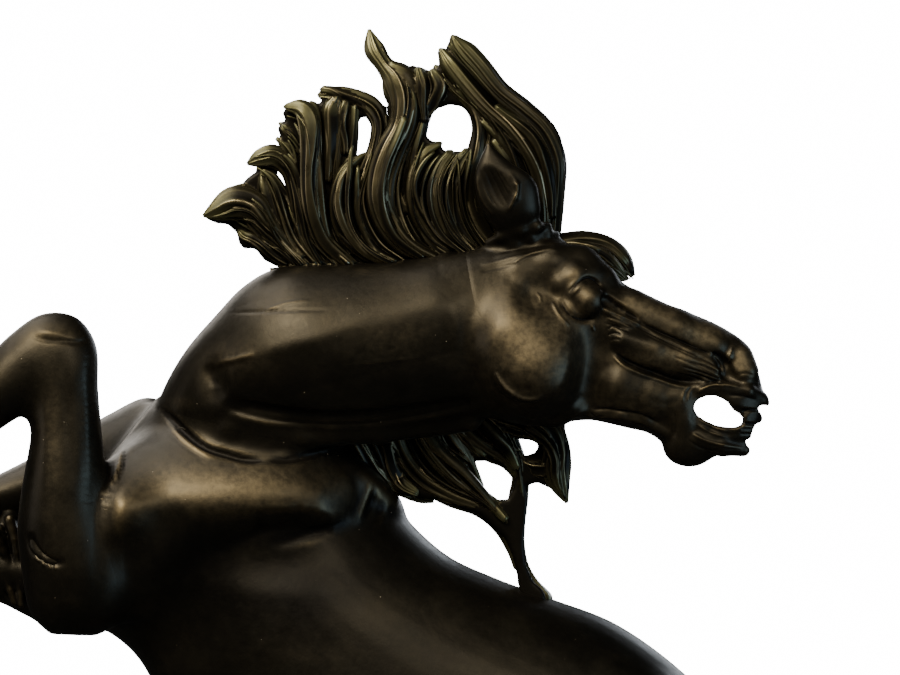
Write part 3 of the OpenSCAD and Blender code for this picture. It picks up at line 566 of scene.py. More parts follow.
BODY_STROKES = [
    # line, width, depth, side test, taper, kind
    ([(158, 407), (172, 419), (188, 435), (204, 447), (222, 453), (245, 459), (268, 461)], 3.0, -1.6, near_side, 0.25, "groove"),
    ([(262, 461), (290, 460), (312, 455), (336, 447), (354, 441)], 3.0, -0.9, near_side, 0.3, "groove"),
    ([(170, 428), (186, 442), (202, 452), (216, 459)], 2.6, 0.7, near_side, 0.4, "groove"),
    ([(222, 466), (228, 463), (236, 466)], 0.9, -0.35, near_side, 0.3, "groove"), ([(276, 474), (282, 476), (286, 480)], 0.9, -0.3, near_side, 0.3, "groove"),
    ([(120, 444), (121, 456), (119, 468), (112, 482), (106, 494)], 1.5, 0.55, near_side, 0.3, "groove"), ([(124, 446), (125, 458), (122, 470)], 1.4, -0.35, near_side, 0.3, "groove"),
    ([(314, 448), (315, 462)], 0.9, -0.3, near_side, 0.3, "groove"), ([(319, 447), (321, 462)], 0.9, -0.3, near_side, 0.3, "groove"), ([(324, 446), (327, 461)], 0.9, -0.3, near_side, 0.3, "groove"),
    ([(330, 446), (333, 459)], 0.9, -0.3, near_side, 0.3, "groove"), ([(336, 446), (339, 457)], 0.9, -0.25, near_side, 0.3, "groove"),
    ([(351, 519), (342, 523), (330, 527), (312, 533), (290, 540), (270, 546)], 5.0, -0.9, near_side, 0.4, "groove"),
    ([(350, 466), (356, 482), (357, 498), (352, 512), (342, 522)], 4.5, -0.35, near_side, 0.4, "groove"),
    ([(101, 424), (107, 450), (110, 474), (107, 490)], 2.6, -0.6, near_side, 0.3, "groove"),
    ([(118, 462), (116, 476), (110, 488)], 1.6, 0.7, near_side, 0.4, "groove"),
    ([(100, 494), (112, 494)], 1.0, 0.45, near_side, 0.3, "groove"),
    ([(100, 499), (111, 500)], 1.0, 0.45, near_side, 0.3, "groove"),
    ([(101, 504), (110, 505)], 1.0, 0.4, near_side, 0.3, "groove"),
    ([(102, 509), (109, 510)], 1.0, 0.35, near_side, 0.3, "groove"),
    ([(30, 532), (33, 546), (42, 557), (54, 563), (66, 562)], 4.0, -1.3, near_side, 0.35, "groove"),
    ([(34, 556), (40, 562)], 1.1, 0.45, near_side, 0.3, "groove"),
    ([(41, 560), (45, 566)], 1.1, 0.45, near_side, 0.3, "groove"),
    ([(48, 563), (51, 569)], 1.1, 0.4, near_side, 0.3, "groove"),
    ([(55, 564), (56, 570)], 1.1, 0.35, near_side, 0.3, "groove"),
    ([(30, 336), (46, 340), (64, 341), (80, 342), (92, 337)], 2.6, -0.5, near_side, 0.4, "groove"),
    ([(34, 330), (52, 333), (68, 334)], 4.0, 0.5, near_side, 0.5, "groove"),
    ([(62, 352), (66, 400), (70, 450), (74, 490)], 6.0, -0.45, near_side, 0.5, "groove"),
    ([(81, 356), (87, 358), (95, 357)], 0.7, -0.10, near_side, 0.3, "groove"),
    ([(82, 364), (87, 366), (95, 365)], 0.7, -0.10, near_side, 0.3, "groove"),
    ([(83, 372), (87, 374), (95, 373)], 0.7, -0.10, near_side, 0.3, "groove"),
    ([(79, 380), (87, 382), (95, 381)], 0.7, -0.10, near_side, 0.3, "groove"),
    ([(80, 388), (87, 390), (95, 389)], 0.7, -0.10, near_side, 0.3, "groove"),
    ([(81, 396), (87, 398), (95, 397)], 0.7, -0.10, near_side, 0.3, "groove"),
    ([(82, 404), (87, 406), (95, 405)], 0.7, -0.10, near_side, 0.3, "groove"),
    ([(83, 412), (87, 414), (95, 413)], 0.7, -0.10, near_side, 0.3, "groove"),
    ([(79, 420), (87, 422), (95, 421)], 0.7, -0.10, near_side, 0.3, "groove"),
    ([(80, 428), (87, 430), (95, 429)], 0.7, -0.10, near_side, 0.3, "groove"),
    ([(81, 436), (87, 438), (95, 437)], 0.7, -0.10, near_side, 0.3, "groove"),
    ([(82, 444), (87, 446), (95, 445)], 0.7, -0.10, near_side, 0.3, "groove"),
    ([(83, 452), (87, 454), (95, 453)], 0.7, -0.10, near_side, 0.3, "groove"),
    ([(79, 460), (87, 462), (95, 461)], 0.7, -0.10, near_side, 0.3, "groove"),
    ([(80, 468), (87, 470), (95, 469)], 0.7, -0.10, near_side, 0.3, "groove"),
    ([(81, 476), (87, 478), (95, 477)], 0.7, -0.10, near_side, 0.3, "groove"),
    ([(82, 484), (87, 486), (95, 485)], 0.7, -0.10, near_side, 0.3, "groove"),
    ([(83, 492), (87, 494), (95, 493)], 0.7, -0.10, near_side, 0.3, "groove"),
    ([(79, 500), (87, 502), (95, 501)], 0.7, -0.10, near_side, 0.3, "groove"),

    ([(84, 352), (86, 400), (88, 450), (92, 486)], 5.0, 0.4, near_side, 0.5, "groove"),
    ([(40, 352), (44, 400), (44, 450), (44, 500)], 7.0, 0.4, near_side, 0.5, "groove"),
    # folds of skin over the withers
    ([(356, 526), (361, 510), (367, 494), (372, 480)], 3.2, 0.9, near_side, 0.5, "groove"),
    ([(364, 520), (371, 503), (378, 484)], 2.6, -0.5, near_side, 0.5, "groove"),
    ([(378, 530), (386, 510), (390, 494)], 3.4, 0.45, near_side, 0.5, "groove"),
    # foot of the long strand on the back
    ([(512, 592), (528, 598), (546, 604)], 5.0, -0.5, any_side, 0.4, "groove"),
]
NECK_STROKES = [
    ([(220, 404), (250, 415), (300, 423), (360, 424), (420, 415), (476, 402)], 3.0, -0.7, near_side, 0.3, "groove"),
    ([(213, 368), (222, 362), (236, 359), (256, 354)], 3.0, 0.7, near_side, 0.4, "groove"),
    ([(210, 364), (212, 376), (216, 388)], 5.0, -0.6, near_side, 0.4, "groove"),
    ([(230, 361), (262, 354), (292, 347), (322, 338), (348, 326), (378, 312)], 8.0, 0.22, near_side, 0.4, "groove"),
    ([(345, 366), (380, 362), (430, 356)], 1.2, 0.22, near_side, 0.4, "groove"),
    ([(352, 364), (372, 340), (384, 324)], 0.8, -0.12, near_side, 0.3, "groove"),
    ([(382, 360), (396, 344), (408, 318)], 0.8, -0.14, near_side, 0.3, "groove"),
    ([(360, 356), (386, 350), (400, 346)], 0.8, -0.1, near_side, 0.3, "groove"),
    ([(228, 313), (252, 312), (286, 311), (330, 310)], 1.4, -0.25, near_side, 0.3, "groove"),
    ([(258, 316), (270, 309), (288, 303), (312, 300)], 1.4, 0.22, near_side, 0.3, "groove"),
    ([(450, 300), (456, 330), (452, 360)], 8.0, 0.4, near_side, 0.5, "groove"),
]


def soft(a, b, x):
    t = np.clip((x - a) / (b - a), 0, 1)
    return t * t * (3 - 2 * t)


SHOULDER_EDGE = [(100, 506), (130, 511), (170, 514), (215, 513), (260, 509), (300, 507), (334, 514), (356, 508)]
NECK_PLANE = [(196, 376), (223, 362), (290, 344), (326, 334), (400, 314), (490, 290), (530, 280)]


def planes(p, N):
    """Moves the flanks in or out, in millimetres, to set the large planes: the shoulder that slopes out to its lower edge
    and turns under, the break along the neck, the flat of the cheek."""
    u, v, y = UV(p)
    e = np.array(SHOULDER_EDGE, float)
    s = v - np.interp(u, e[:, 0], e[:, 1])
    fall = np.interp(u, [105, 150, 200, 260], [125, 100, 52, 24])
    f = np.where(s < 0, soft(-62, -5, s), 1 - soft(-5, fall, s))
    m = soft(92, 124, u) * (1 - soft(318, 364, u))
    h = 4.8 * f * m
    e = np.array(NECK_PLANE, float)
    s = v - np.interp(u, e[:, 0], e[:, 1])
    a = np.sqrt(s * s + 36) - 6
    h = h + 1.9 * np.clip(1 - a / 46, 0, 1) * soft(200, 240, u) * (1 - soft(430, 500, u)) * (y < 20)
    r = np.hypot((u - 530) / 54, (v - 352) / 68)
    h = h + 3.4 * (1 - soft(0.70, 1.08, r)) * np.clip((v - 292) / 100, 0, 1)
    face = np.clip(np.abs(N[:, 1]) * 2.2, 0, 1)
    p = p.copy()
    p[:, 1] += np.sign(N[:, 1]) * h * face
    return p


def apply_strokes(p, q, t, strokes):
    if strokes is BODY_STROKES:
        p = planes(p, vertex_normals(p, q, t))
    N = vertex_normals(p, q, t)
    for line, width, depth, side, taper, kind in strokes:
        p = stroke(p, N, line, width, depth, side, taper, kind)
    return p


# Places painted gold: partly where hands and cloths have rubbed the dark patina thin, partly painted highlight on the
# cheek, nose, eye, brow, neck and shoulder where the lamps catch them: (u, v, radius along u, radius along v, strength)
RUBBED_AND_LIT = [(536, 342, 46, 50, 0.85), (560, 322, 26, 24, 0.9), (700, 334, 30, 14, 1.0), (645, 308, 40, 14, 0.65), (668, 358, 42, 12, 0.95), (586, 298, 13, 15, 0.6), (635, 405, 50, 18, 0.45), (574, 276, 10, 8, 0.7), (742, 362, 14, 16, 0.7), (578, 276, 18, 8, 0.3), (600, 392, 40, 14, 0.22), (660, 405, 26, 16, 0.25), (236, 362, 30, 16, 0.25),
          (225, 486, 84, 20, 0.62), (330, 490, 24, 24, 0.3), (52, 336, 22, 8, 0.35), (50, 440, 12, 70, 0.14), (395, 340, 34, 20, 0.16), (181, 403, 8, 6, 0.4), (350, 610, 40, 14, 0.12), (118, 500, 12, 50, 0.12)]


def rub_and_highlight_marks(p):
    u, v, y = UV(p)
    r = np.zeros(len(p))
    for cu, cv, ru, rv, f in RUBBED_AND_LIT:
        r = np.maximum(r, f * np.exp(-((u - cu) / ru) ** 2 - ((v - cv) / rv) ** 2))
    return r


# Painted shade: places painted near black on the barrel under the neck and head and along the lower neck, where shade
# falls
PAINTED_SHADE = [(300, 590, 105, 62, 1.0), (200, 570, 80, 50, 0.9), (400, 650, 110, 50, 0.6), (300, 400, 90, 20, 0.5), (400, 390, 90, 24, 0.6)]


def painted_shade_marks(p):
    u, v, y = UV(p)
    r = np.zeros(len(p))
    for cu, cv, ru, rv, f in PAINTED_SHADE:
        r = np.maximum(r, f * np.exp(-((u - cu) / ru) ** 2 - ((v - cv) / rv) ** 2))
    return r


def finish_piece(name, p, q, t, replaces, slot, seam=None, attrs=None):
    N = vertex_normals(p, q, t)
    c = curvature(p, N, q, t)
    if seam is not None:
        c = c * np.clip((seam - 1.2) / 1.5, 0, 1)
    # vertex masks for the material: ridge curvature; gold where the patina is rubbed thin and where highlight is
    # painted; near black where shade is painted
    at = {"ridge": c, "rub": rub_and_highlight_marks(p), "soot": painted_shade_marks(p)}
    at.update(attrs or {})
    ob = to_object(name, p, q, t, at)
    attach(ob, "root")
    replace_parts(ob, *replaces) if isinstance(replaces, (list, tuple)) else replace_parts(ob, replaces)
    PIECES[name] = ob
    SLOTS[name] = slot
    print("piece %s: %d faces, %.1f s" % (name, len(q) + len(t), time.time() - T0))
    return ob


LEGS = ("left_foreleg", "right_foreleg", "left_hind_leg", "right_hind_leg")


def field_at(vol, legs=LEGS, head=True):
    tables = {"left_foreleg": LFORE, "right_foreleg": RFORE, "left_hind_leg": HIND, "right_hind_leg": HIND_R}
    a = body_field(vol)
    L = {k: vol.mesh(limb_mesh(tables[k])) for k in legs}
    F = a
    for k, d in L.items():
        F = smin(F, d, {"left_foreleg": 6.5, "right_foreleg": 9.0}.get(k, 7.0))
    F = blur(F, 0.9 / vol.h)
    if head:
        F = smin(F, blur(head_field(vol), 0.3 / vol.h), 1.4)
    return F, a, L


def leg_region(k, d, a):
    return (d - a) * 0.5 + (4.0 if "hind" in k else 1.0)


def build_body():
    q_ = 1.0
    vol = Vol((-232, -52, 44), (112, 52, 436), 1.25 * q_)
    F, a, L = field_at(vol)
    region = np.minimum.reduce([leg_region(k, d, a) for k, d in L.items()])
    hs = half_space(vol, SEAM_P, SEAM_N)
    cut = np.minimum(region + 3.5, 5.0 - hs)
    off = np.maximum(-0.11 * np.clip(region / 3.5, -1, 1), 0.13 * np.clip(hs / 5.0, -1, 1))
    p, q, t = largest(*vol.polys(np.maximum(F + off, -cut)))
    p = relax(p, q, t, 2)
    seam = np.abs(sample(vol, cut, p))
    p = apply_strokes(p, q, t, BODY_STROKES)
    finish_piece("trunk_sculpt", p, q, t, "trunk", "bronze_body", seam)
    boxes = {"left_foreleg": ((-232, -52, 270), (-108, 2, 404), 0.55), "right_foreleg": ((-222, 0, 280), (-100, 42, 372), 0.6),
             "left_hind_leg": ((-12, -52, 44), (112, 2, 262), 0.9), "right_hind_leg": ((-12, -2, 44), (112, 52, 262), 0.9)}
    for k, (lo, hi, h) in boxes.items():
        vol = Vol(lo, hi, h * q_)
        F, a, L = field_at(vol, (k,), head=False)
        if k == "right_foreleg":
            hair = feather_field(vol)
            F = smin(F, hair, 0.8)
            L[k] = np.minimum(L[k], hair)
        g = leg_region(k, L[k], a)
        p, q, t = largest(*vol.polys(np.maximum(F + 0.11 * np.clip(g / 3.5, -1, 1), g - 3.5)))
        p = relax(p, q, t, 2)
        seam = np.abs(sample(vol, g, p) - 3.5)
        p = apply_strokes(p, q, t, BODY_STROKES)
        finish_piece(k + "_sculpt", p, q, t, k, "bronze_body", seam)


def feather_field(vol):
    """Combed hair behind the right forearm: flat strands that curve down and forward to one point."""
    f = np.full([len(x) for x in vol.ax], 9.0, np.float32)
    rng = np.random.RandomState(3)
    for i in range(9):
        x = i / 8.0
        u0, v0 = -34 + 44 * x, 520 + 40 * (1 - x)
        tip = (21 - 9 * (1 - x), 605 - 4 * (1 - x))
        y = 44 + 5 * math.sin(i * 2.1)
        pts = []
        for s_ in np.linspace(0, 1, 7):
            # quarter turn from level to upright
            bu = u0 + (tip[0] - u0) * (0.5 * s_ + 0.5 * math.sin(s_ * math.pi / 2))
            bv = v0 + (tip[1] - v0) * (0.55 * s_ + 0.45 * s_ * s_)
            pts.append((bu, bv, y + 2 * math.sin(3 * s_ + i), 5.2 - 1.8 * s_ ** 1.6))
        cone_chain(vol, f, pts, 0.5)
    # the sheet behind the strands
    cone_chain(vol, f, [(12, 588, 56, 15), (28, 596, 56, 16), (44, 607, 56, 16.5)], 3.0, flat=0.7)
    cone_chain(vol, f, [(-24, 546, 58, 26), (-6, 560, 58, 27), (0, 580, 57, 22)], 3.0, flat=0.5)
    cone_chain(vol, f, [(10, 520, 52, 10), (15, 545, 52, 10), (14, 575, 52, 11), (12, 594, 52, 10)], 3.0, flat=0.6)
    return f


# ------------------------------------------------------------------ neck and head
def polygon_field(vol, poly, y=-70):
    """Signed distance, in the side view, to a polygon drawn in the plane y."""
    Q = np.array([W(u, v, y) for u, v in poly])[:, [0, 2]]
    X = vol.ax[0][:, None]
    Z = vol.ax[2][None, :]
    d = np.full((vol.n[0], vol.n[2]), 1e9)
    inside = np.zeros(d.shape, bool)
    for i in range(len(Q)):
        a, b = Q[i], Q[(i + 1) % len(Q)]
        e = b - a
        t = np.clip(((X - a[0]) * e[0] + (Z - a[1]) * e[1]) / (e @ e), 0, 1)
        d = np.minimum(d, np.hypot(X - a[0] - t * e[0], Z - a[1] - t * e[1]))
        cond = (a[1] > Z) != (b[1] > Z)
        inside ^= cond & (X < (b[0] - a[0]) * (Z - a[1]) / (b[1] - a[1] + 1e-12) + a[0])
    return np.where(inside, -d, d).astype(np.float32)[:, None, :]


MID = -70
FRONT = [(771, 407), (764.7, 404.7), (759.4, 405.2), (756.7, 409), (760.7, 414), (762.5, 418.6), (760.7, 422), (755, 424), (752.7, 428.6),
         (751, 434), (750, 438), (744.6, 440), (746, 444.7), (750.7, 450), (751, 456), (790, 475), (805, 430), (790, 400)]
EAR_R = [[514, 256, -78, 530, 252, -76, 6], [503, 239, -88, 534, 235, -86, 9], [488, 221, -98, 540, 214, -95, 14], [479, 203, -103, 539, 198, -99, 15],
         [475, 185, -105, 536, 184, -101, 14], [476, 170, -107, 527, 173, -104, 11], [481, 157, -108, 511, 163, -106, 7],
         [485, 149, -108, 497, 151, -107, 4], [487.5, 143.5, -108, 490, 143.5, -108, 1.2]]
EAR_L = [[r[0] + 16, r[1] + 12, -140 - r[2], r[3] + 10, r[4] + 12, -140 - r[5], r[6]] for r in EAR_R]


def head_field(vol):
    a = vol.mesh(limb_mesh(HEAD, power=2.25))
    # cheek dome and its lower border
    relief(vol, a, [(515, 338, 58, 4.5), (532, 362, 58, 5.0)], 6.0)
    relief(vol, a, [(498, 398, 10, 2.0), (528, 410, 10, 2.8), (556, 414, 10, 2.8), (580, 405, 9, 2.2)], 3.0)
    # hollow band between cheek and face
    relief(vol, a, [(598, 322, 18, 2.6), (602, 352, 20, 4.4), (596, 384, 18, 3.6), (590, 402, 11, 1.4)], 6.0, cut=True)
    # hollow of the temple
    relief(vol, a, [(538, 291, 18, 0.6), (552, 291, 14, 1.8)], 5.0, cut=True)
    # brow and upper lid mound
    relief(vol, a, [(520, 268, 16, 0.8), (552, 262, 16, 2.2), (582, 264, 14, 2.4), (604, 277, 10, 1.4)], 5.0)
    relief(vol, a, [(562, 284, 11, 2.0), (575, 277, 12, 4.4), (590, 275, 10, 3.0)], 3.0)
    # eyeball under its lids
    relief(vol, a, [(578, 292, 15, 6.5), (588, 300, 18, 9.5)], 1.0)
    # tear hollow
    relief(vol, a, [(606, 300, 7, 4.5), (620, 309, 6, 4.5), (640, 320, 3.5, 2.0)], 1.0, cut=True)
    relief(vol, a, [(606, 311, 3, 1.6), (620, 318, 3, 2.2), (636, 324, 3, 1.4)], 0.8)
    # bone of the nose
    relief(vol, a, [(634, 306, 14, 2.2), (676, 329, 15, 3.0), (714, 345, 12, 3.4)], 4.0)
    # leaf of the muscle that lifts the lip
    relief(vol, a, [(624, 340, 13, 3.5), (652, 350, 17, 6.5), (684, 361, 16, 6.5), (712, 371, 11, 4.5)], 1.6)
    relief(vol, a, [(614, 350, 5, 2.0), (630, 363, 5, 3.2), (655, 374, 5, 3.6), (680, 381, 5, 3.0), (698, 381, 4, 1.6)], 1.6, cut=True)
    # lower cheek muscle and the corner of the mouth
    relief(vol, a, [(620, 385, 20, 4.0), (652, 396, 20, 5.0), (680, 402, 13, 4.0)], 3.0)
    relief(vol, a, [(676, 398, 12, 3.5), (683, 418, 12, 3.5), (684, 438, 13, 3.5)], 2.5)
    # jaw bone
    relief(vol, a, [(592, 413, 5, 2.2), (620, 416, 5, 2.6), (645, 421, 5, 2.6), (667, 433, 5, 2.6)], 1.6)
    # nose tip, wing and cavity of the nostril
    relief(vol, a, [(741, 356, 11, 4.0), (746, 371, 12, 4.5)], 1.8)
    relief(vol, a, [(717, 357, 5, 3.0), (724, 364, 7, 7.0), (728, 375, 7, 7.5), (738, 382, 5, 4.0)], 1.2, cut=True)
    relief(vol, a, [(733, 348, 4, 3.0), (730, 356, 4, 3.0)], 1.0)
    # lips
    relief(vol, a, [(700, 389, 5, 2.4), (722, 387, 5, 2.4), (748, 391, 6, 2.8), (762, 398, 5, 2.0)], 1.4)
    relief(vol, a, [(696, 437, 6, 2.6), (720, 445, 6, 3.0), (742, 450, 5, 2.0)], 1.4)
    for s in (-1, 1):
        def y(d):
            return MID + s * d
        cone_chain(vol, a, [(728, 392, y(13), 8), (746, 394, y(9), 9), (762, 401, y(4), 5.5)], 1.8)
        cone_chain(vol, a, [(696, 440, y(15), 9), (722, 447, y(12), 8), (744, 450, y(7), 5.5)], 1.8)
    # chin
    egg(vol, a, (664, 446, MID), (710, 452, MID), 17, 21, 2.5)
    # folds at the foot of the ear
    for s in (-1, 1):
        def z(y):
            return y if s < 0 else -140 - y
        cone_chain(vol, a, [(478, 262, z(-72), 3), (494, 257, z(-80), 5), (516, 251, z(-85), 6.5), (538, 246, z(-84), 6), (556, 246, z(-76), 5), (568, 250, z(-70), 3)], 3.0)
        cone_chain(vol, a, [(482, 252, z(-78), 3), (496, 247, z(-85), 4.5), (513, 241, z(-91), 5.5), (530, 236, z(-91), 5.5), (546, 233, z(-84), 4.5), (556, 234, z(-74), 3)], 2.2)
        cone_chain(vol, a, [(488, 242, z(-86), 3), (502, 236, z(-94), 4.5), (520, 230, z(-98), 5), (536, 226, z(-96), 4.5), (548, 225, z(-84), 3)], 2.0)
    # mouth
    a = -smin(-a, polygon_field(vol, MOUTH) + np.zeros_like(a), 0.8)
    a = -smin(-a, polygon_field(vol, FRONT) + np.zeros_like(a), 0.4)
    for s in (-1, 1):
        def y(d):
            return MID + s * d
        # sloping inside of the lower jaw and the recess behind the upper lip
        cone_chain(vol, a, [(697, 418, y(30), 5), (712, 428, y(29), 6), (730, 434, y(27), 6), (742, 434, y(25), 4)], 1.4, cut=True)
        cone_chain(vol, a, [(732, 408, y(26), 3), (744, 413, y(24), 4), (754, 410, y(23), 3)], 1.0, cut=True)
    return a


def ear_field(vol, rows, side):
    e = vol.mesh(limb_mesh(rows, power=2.2))
    du, dv = (0, 0) if side < 0 else (14, 12)

    def y(d):
        return MID + side * d
    egg(vol, e, (480 + du, 160 + dv, y(54)), (508 + du, 216 + dv, y(50)), 14, 10, 1.4, cut=True)
    cone_chain(vol, e, [(511 + du, 176 + dv, y(44), 1.6), (516 + du, 184 + dv, y(44.5), 2.2), (515.5 + du, 197 + dv, y(44), 2.4), (508 + du, 211 + dv, y(40), 1.8)], 1.2)
    return e


HEAD_STROKES = [
    ([(568, 293), (573, 287), (580, 281), (589, 277.5), (598, 283), (603, 291)], 1.3, -0.75), ([(572, 296), (579, 288), (588, 283)], 1.5, 0.25),
    ([(560, 299), (565, 308), (573, 316), (584, 320), (596, 318)], 2.4, -0.9), ([(552, 301), (556, 310), (562, 319), (570, 326)], 1.7, 0.55), ([(536, 292), (540, 297), (541, 303)], 1.2, 0.2),
    ([(605, 296), (613, 303), (623, 310), (639, 319)], 3.0, -0.7),
    ([(634, 319), (648, 326), (664, 334), (685, 343), (702, 350), (716, 355), (723, 360)], 1.7, -0.9),
    ([(628, 321), (646, 331), (668, 342), (690, 352), (708, 360)], 1.1, -0.4), ([(640, 331), (662, 342), (684, 352), (704, 362)], 1.0, -0.34),
    ([(611, 313), (622, 318), (633, 323)], 1.1, -0.4), ([(606, 318), (620, 323), (634, 329)], 1.4, 0.4), ([(604, 323), (618, 327), (630, 332)], 1.0, -0.3),
    ([(612, 349), (619, 356), (630, 363), (642, 368), (656, 373), (672, 379), (684, 381), (696, 381)], 2.2, -0.9),
    ([(613, 356), (624, 366), (640, 374), (656, 379), (672, 385), (686, 387), (698, 383)], 1.8, 0.6), ([(616, 353), (626, 360), (640, 366)], 1.0, -0.3),
    ([(607, 330), (612, 326.5), (618, 327), (621, 330)], 0.8, -0.4), ([(607, 336), (613, 333), (619, 334), (621, 336)], 0.8, -0.4), ([(610, 341), (615, 339), (621, 340)], 0.8, -0.25),
    ([(592, 325), (594, 331)], 1.0, 0.4),
    ([(680, 366), (700, 372), (722, 380)], 1.0, -0.5), ([(686, 361), (706, 367), (724, 376)], 1.0, -0.5), ([(690, 372), (710, 379), (727, 386)], 1.0, -0.45),
    ([(694, 356), (710, 362), (722, 370)], 1.0, -0.45), ([(684, 371), (704, 377), (722, 385)], 0.9, -0.35), ([(676, 373), (690, 376), (706, 382)], 0.9, -0.35), ([(672, 356), (690, 363), (708, 371)], 0.9, -0.3),
    ([(688, 346), (704, 350), (716, 357), (722, 366), (724, 376)], 1.3, 0.6),
    ([(733, 347), (730, 355), (729, 364)], 1.4, 0.4), ([(736, 376), (745, 373), (754, 376)], 1.4, -0.3),
    ([(697, 394), (704, 388), (714, 385), (726, 385), (740, 387)], 1.4, 0.5), ([(700, 388), (711, 382), (724, 381), (736, 384)], 1.4, -0.4), ([(728, 395), (742, 396), (756, 400)], 1.2, -0.3),
    ([(690, 432), (704, 440), (722, 445), (744, 448)], 1.6, 0.4), ([(696, 424), (712, 433), (730, 438)], 1.0, 0.3), ([(700, 420), (716, 428), (734, 433)], 0.9, 0.25), ([(688, 440), (704, 449), (724, 452)], 1.4, -0.3),
    ([(742, 423), (750, 424), (757, 424)], 1.3, -0.6), ([(742, 411), (750, 410), (758, 410)], 1.4, -0.6), ([(741, 429), (752, 429)], 0.9, -0.3), ([(740, 434), (751, 434)], 0.9, -0.3),
    ([(592, 409), (606, 409), (622, 411), (642, 415), (660, 423)], 1.6, -0.6), ([(598, 420), (620, 421), (640, 425), (656, 432)], 1.3, -0.4), ([(589, 412), (596, 417), (604, 416)], 1.0, -0.4),
    ([(496, 372), (502, 383), (511, 392), (522, 398), (534, 399), (545, 395)], 2.0, 1.0), ([(490, 376), (496, 389), (506, 398), (520, 404), (538, 404)], 2.4, -0.5),
    ([(504, 371), (512, 383), (523, 390), (537, 390)], 4.0, -0.45),
    ([(516, 413), (537, 419), (556, 421), (572, 417), (584, 411)], 1.8, 0.5),
    ([(646, 400), (668, 404), (684, 396)], 4.0, -0.25), ([(690, 386), (684, 392), (682, 402)], 1.2, 0.35), ([(696, 386), (690, 392), (688, 402)], 1.0, 0.3),
    ([(674, 410), (676, 424), (673, 438)], 2.6, -0.4),
    ([(488, 256), (506, 251), (532, 247), (560, 243)], 1.6, -0.25),
    ([(480, 265), (496, 262), (520, 256), (548, 251)], 2.0, 0.3), ([(480, 272), (496, 268), (516, 264)], 2.0, -0.2), ([(512, 264), (526, 256), (546, 250), (560, 250)], 1.8, 0.4),
]
EAR_STROKES = [
    ([(480, 170), (487, 190), (498, 209)], 0.8, -0.2), ([(484, 167), (492, 186), (503, 208)], 0.8, -0.22), ([(488, 166), (497, 184), (507, 205)], 0.8, -0.22),
    ([(493, 167), (502, 182), (510, 198)], 0.8, -0.2), ([(499, 171), (506, 182), (512, 192)], 0.7, -0.16), ([(517, 182), (517, 192), (513, 202), (508, 211)], 1.6, 0.6),
    ([(477, 172), (479, 190), (486, 206), (496, 216)], 1.5, 0.5),
]


def head_strokes(p, q, t, more=()):
    return apply_strokes(p, q, t, [(l, w, d, any_side, 0.25, "groove") for l, w, d in list(HEAD_STROKES) + list(more)])


def build_neck_head():
    q_ = 1.0
    fore = ("left_foreleg", "right_foreleg")
    # neck
    vol = Vol((-142, -52, 320), (14, 32, 428), 0.72 * q_)
    F, a, L = field_at(vol, fore)
    hs = half_space(vol, HEAD_P, HEAD_N)
    low = half_space(vol, SEAM_P, SEAM_N)
    cut = np.maximum(-low - 5.0, -hs - 4.5)
    off = np.maximum(-0.09 * np.clip(hs / 4.5, -1, 1), -0.13 * np.clip(low / 5.0, -1, 1))
    p, q, t = largest(*vol.polys(np.maximum(F + off, cut)))
    p = relax(p, q, t, 2)
    seam = np.abs(sample(vol, cut, p))
    p = apply_strokes(p, q, t, BODY_STROKES)
    p = apply_strokes(p, q, t, NECK_STROKES)
    p = head_strokes(p, q, t)
    finish_piece("neck_sculpt", p, q, t, "neck", "bronze_body", seam)
    # head
    vol = Vol((-16, -50, 336), (100, 0, 464), 0.42 * q_, band=6.0)
    F, a, L = field_at(vol, fore)
    F = smin(F, ear_field(vol, EAR_R, -1), 1.6)
    F = smin(F, ear_field(vol, EAR_L, 1), 1.6)
    hs = half_space(vol, HEAD_P, HEAD_N)
    cut = hs - 4.5
    p, q, t = largest(*vol.polys(np.maximum(F + 0.09 * np.clip(hs / 4.5, -1, 1) + 0.35 * np.clip((hs - 1.0) / 3.5, 0, 1), cut)))
    p = relax(p, q, t, 1)
    seam = np.abs(sample(vol, cut, p))
    p = planes(p, vertex_normals(p, q, t))
    p = apply_strokes(p, q, t, NECK_STROKES)
    p = head_strokes(p, q, t, EAR_STROKES)
    finish_piece("head_sculpt", p, q, t, "head", "bronze_body", seam)


build_body()
build_neck_head()


# ------------------------------------------------------------------ hair: fluted locks, thin strands and the web behind them
def resample(line, step):
    T = dense(line, 16)
    P = np.stack([T[:, 0], T[:, 1], T[:, 2] * 0.5], 1)
    s = np.concatenate([[0], np.cumsum(np.linalg.norm(np.diff(P, axis=0), axis=1))])
    n = max(6, int(s[-1] / step) + 1)
    x = np.linspace(0, s[-1], n)
    return np.stack([np.interp(x, s, T[:, k]) for k in range(T.shape[1])], 1), x / s[-1], s[-1]


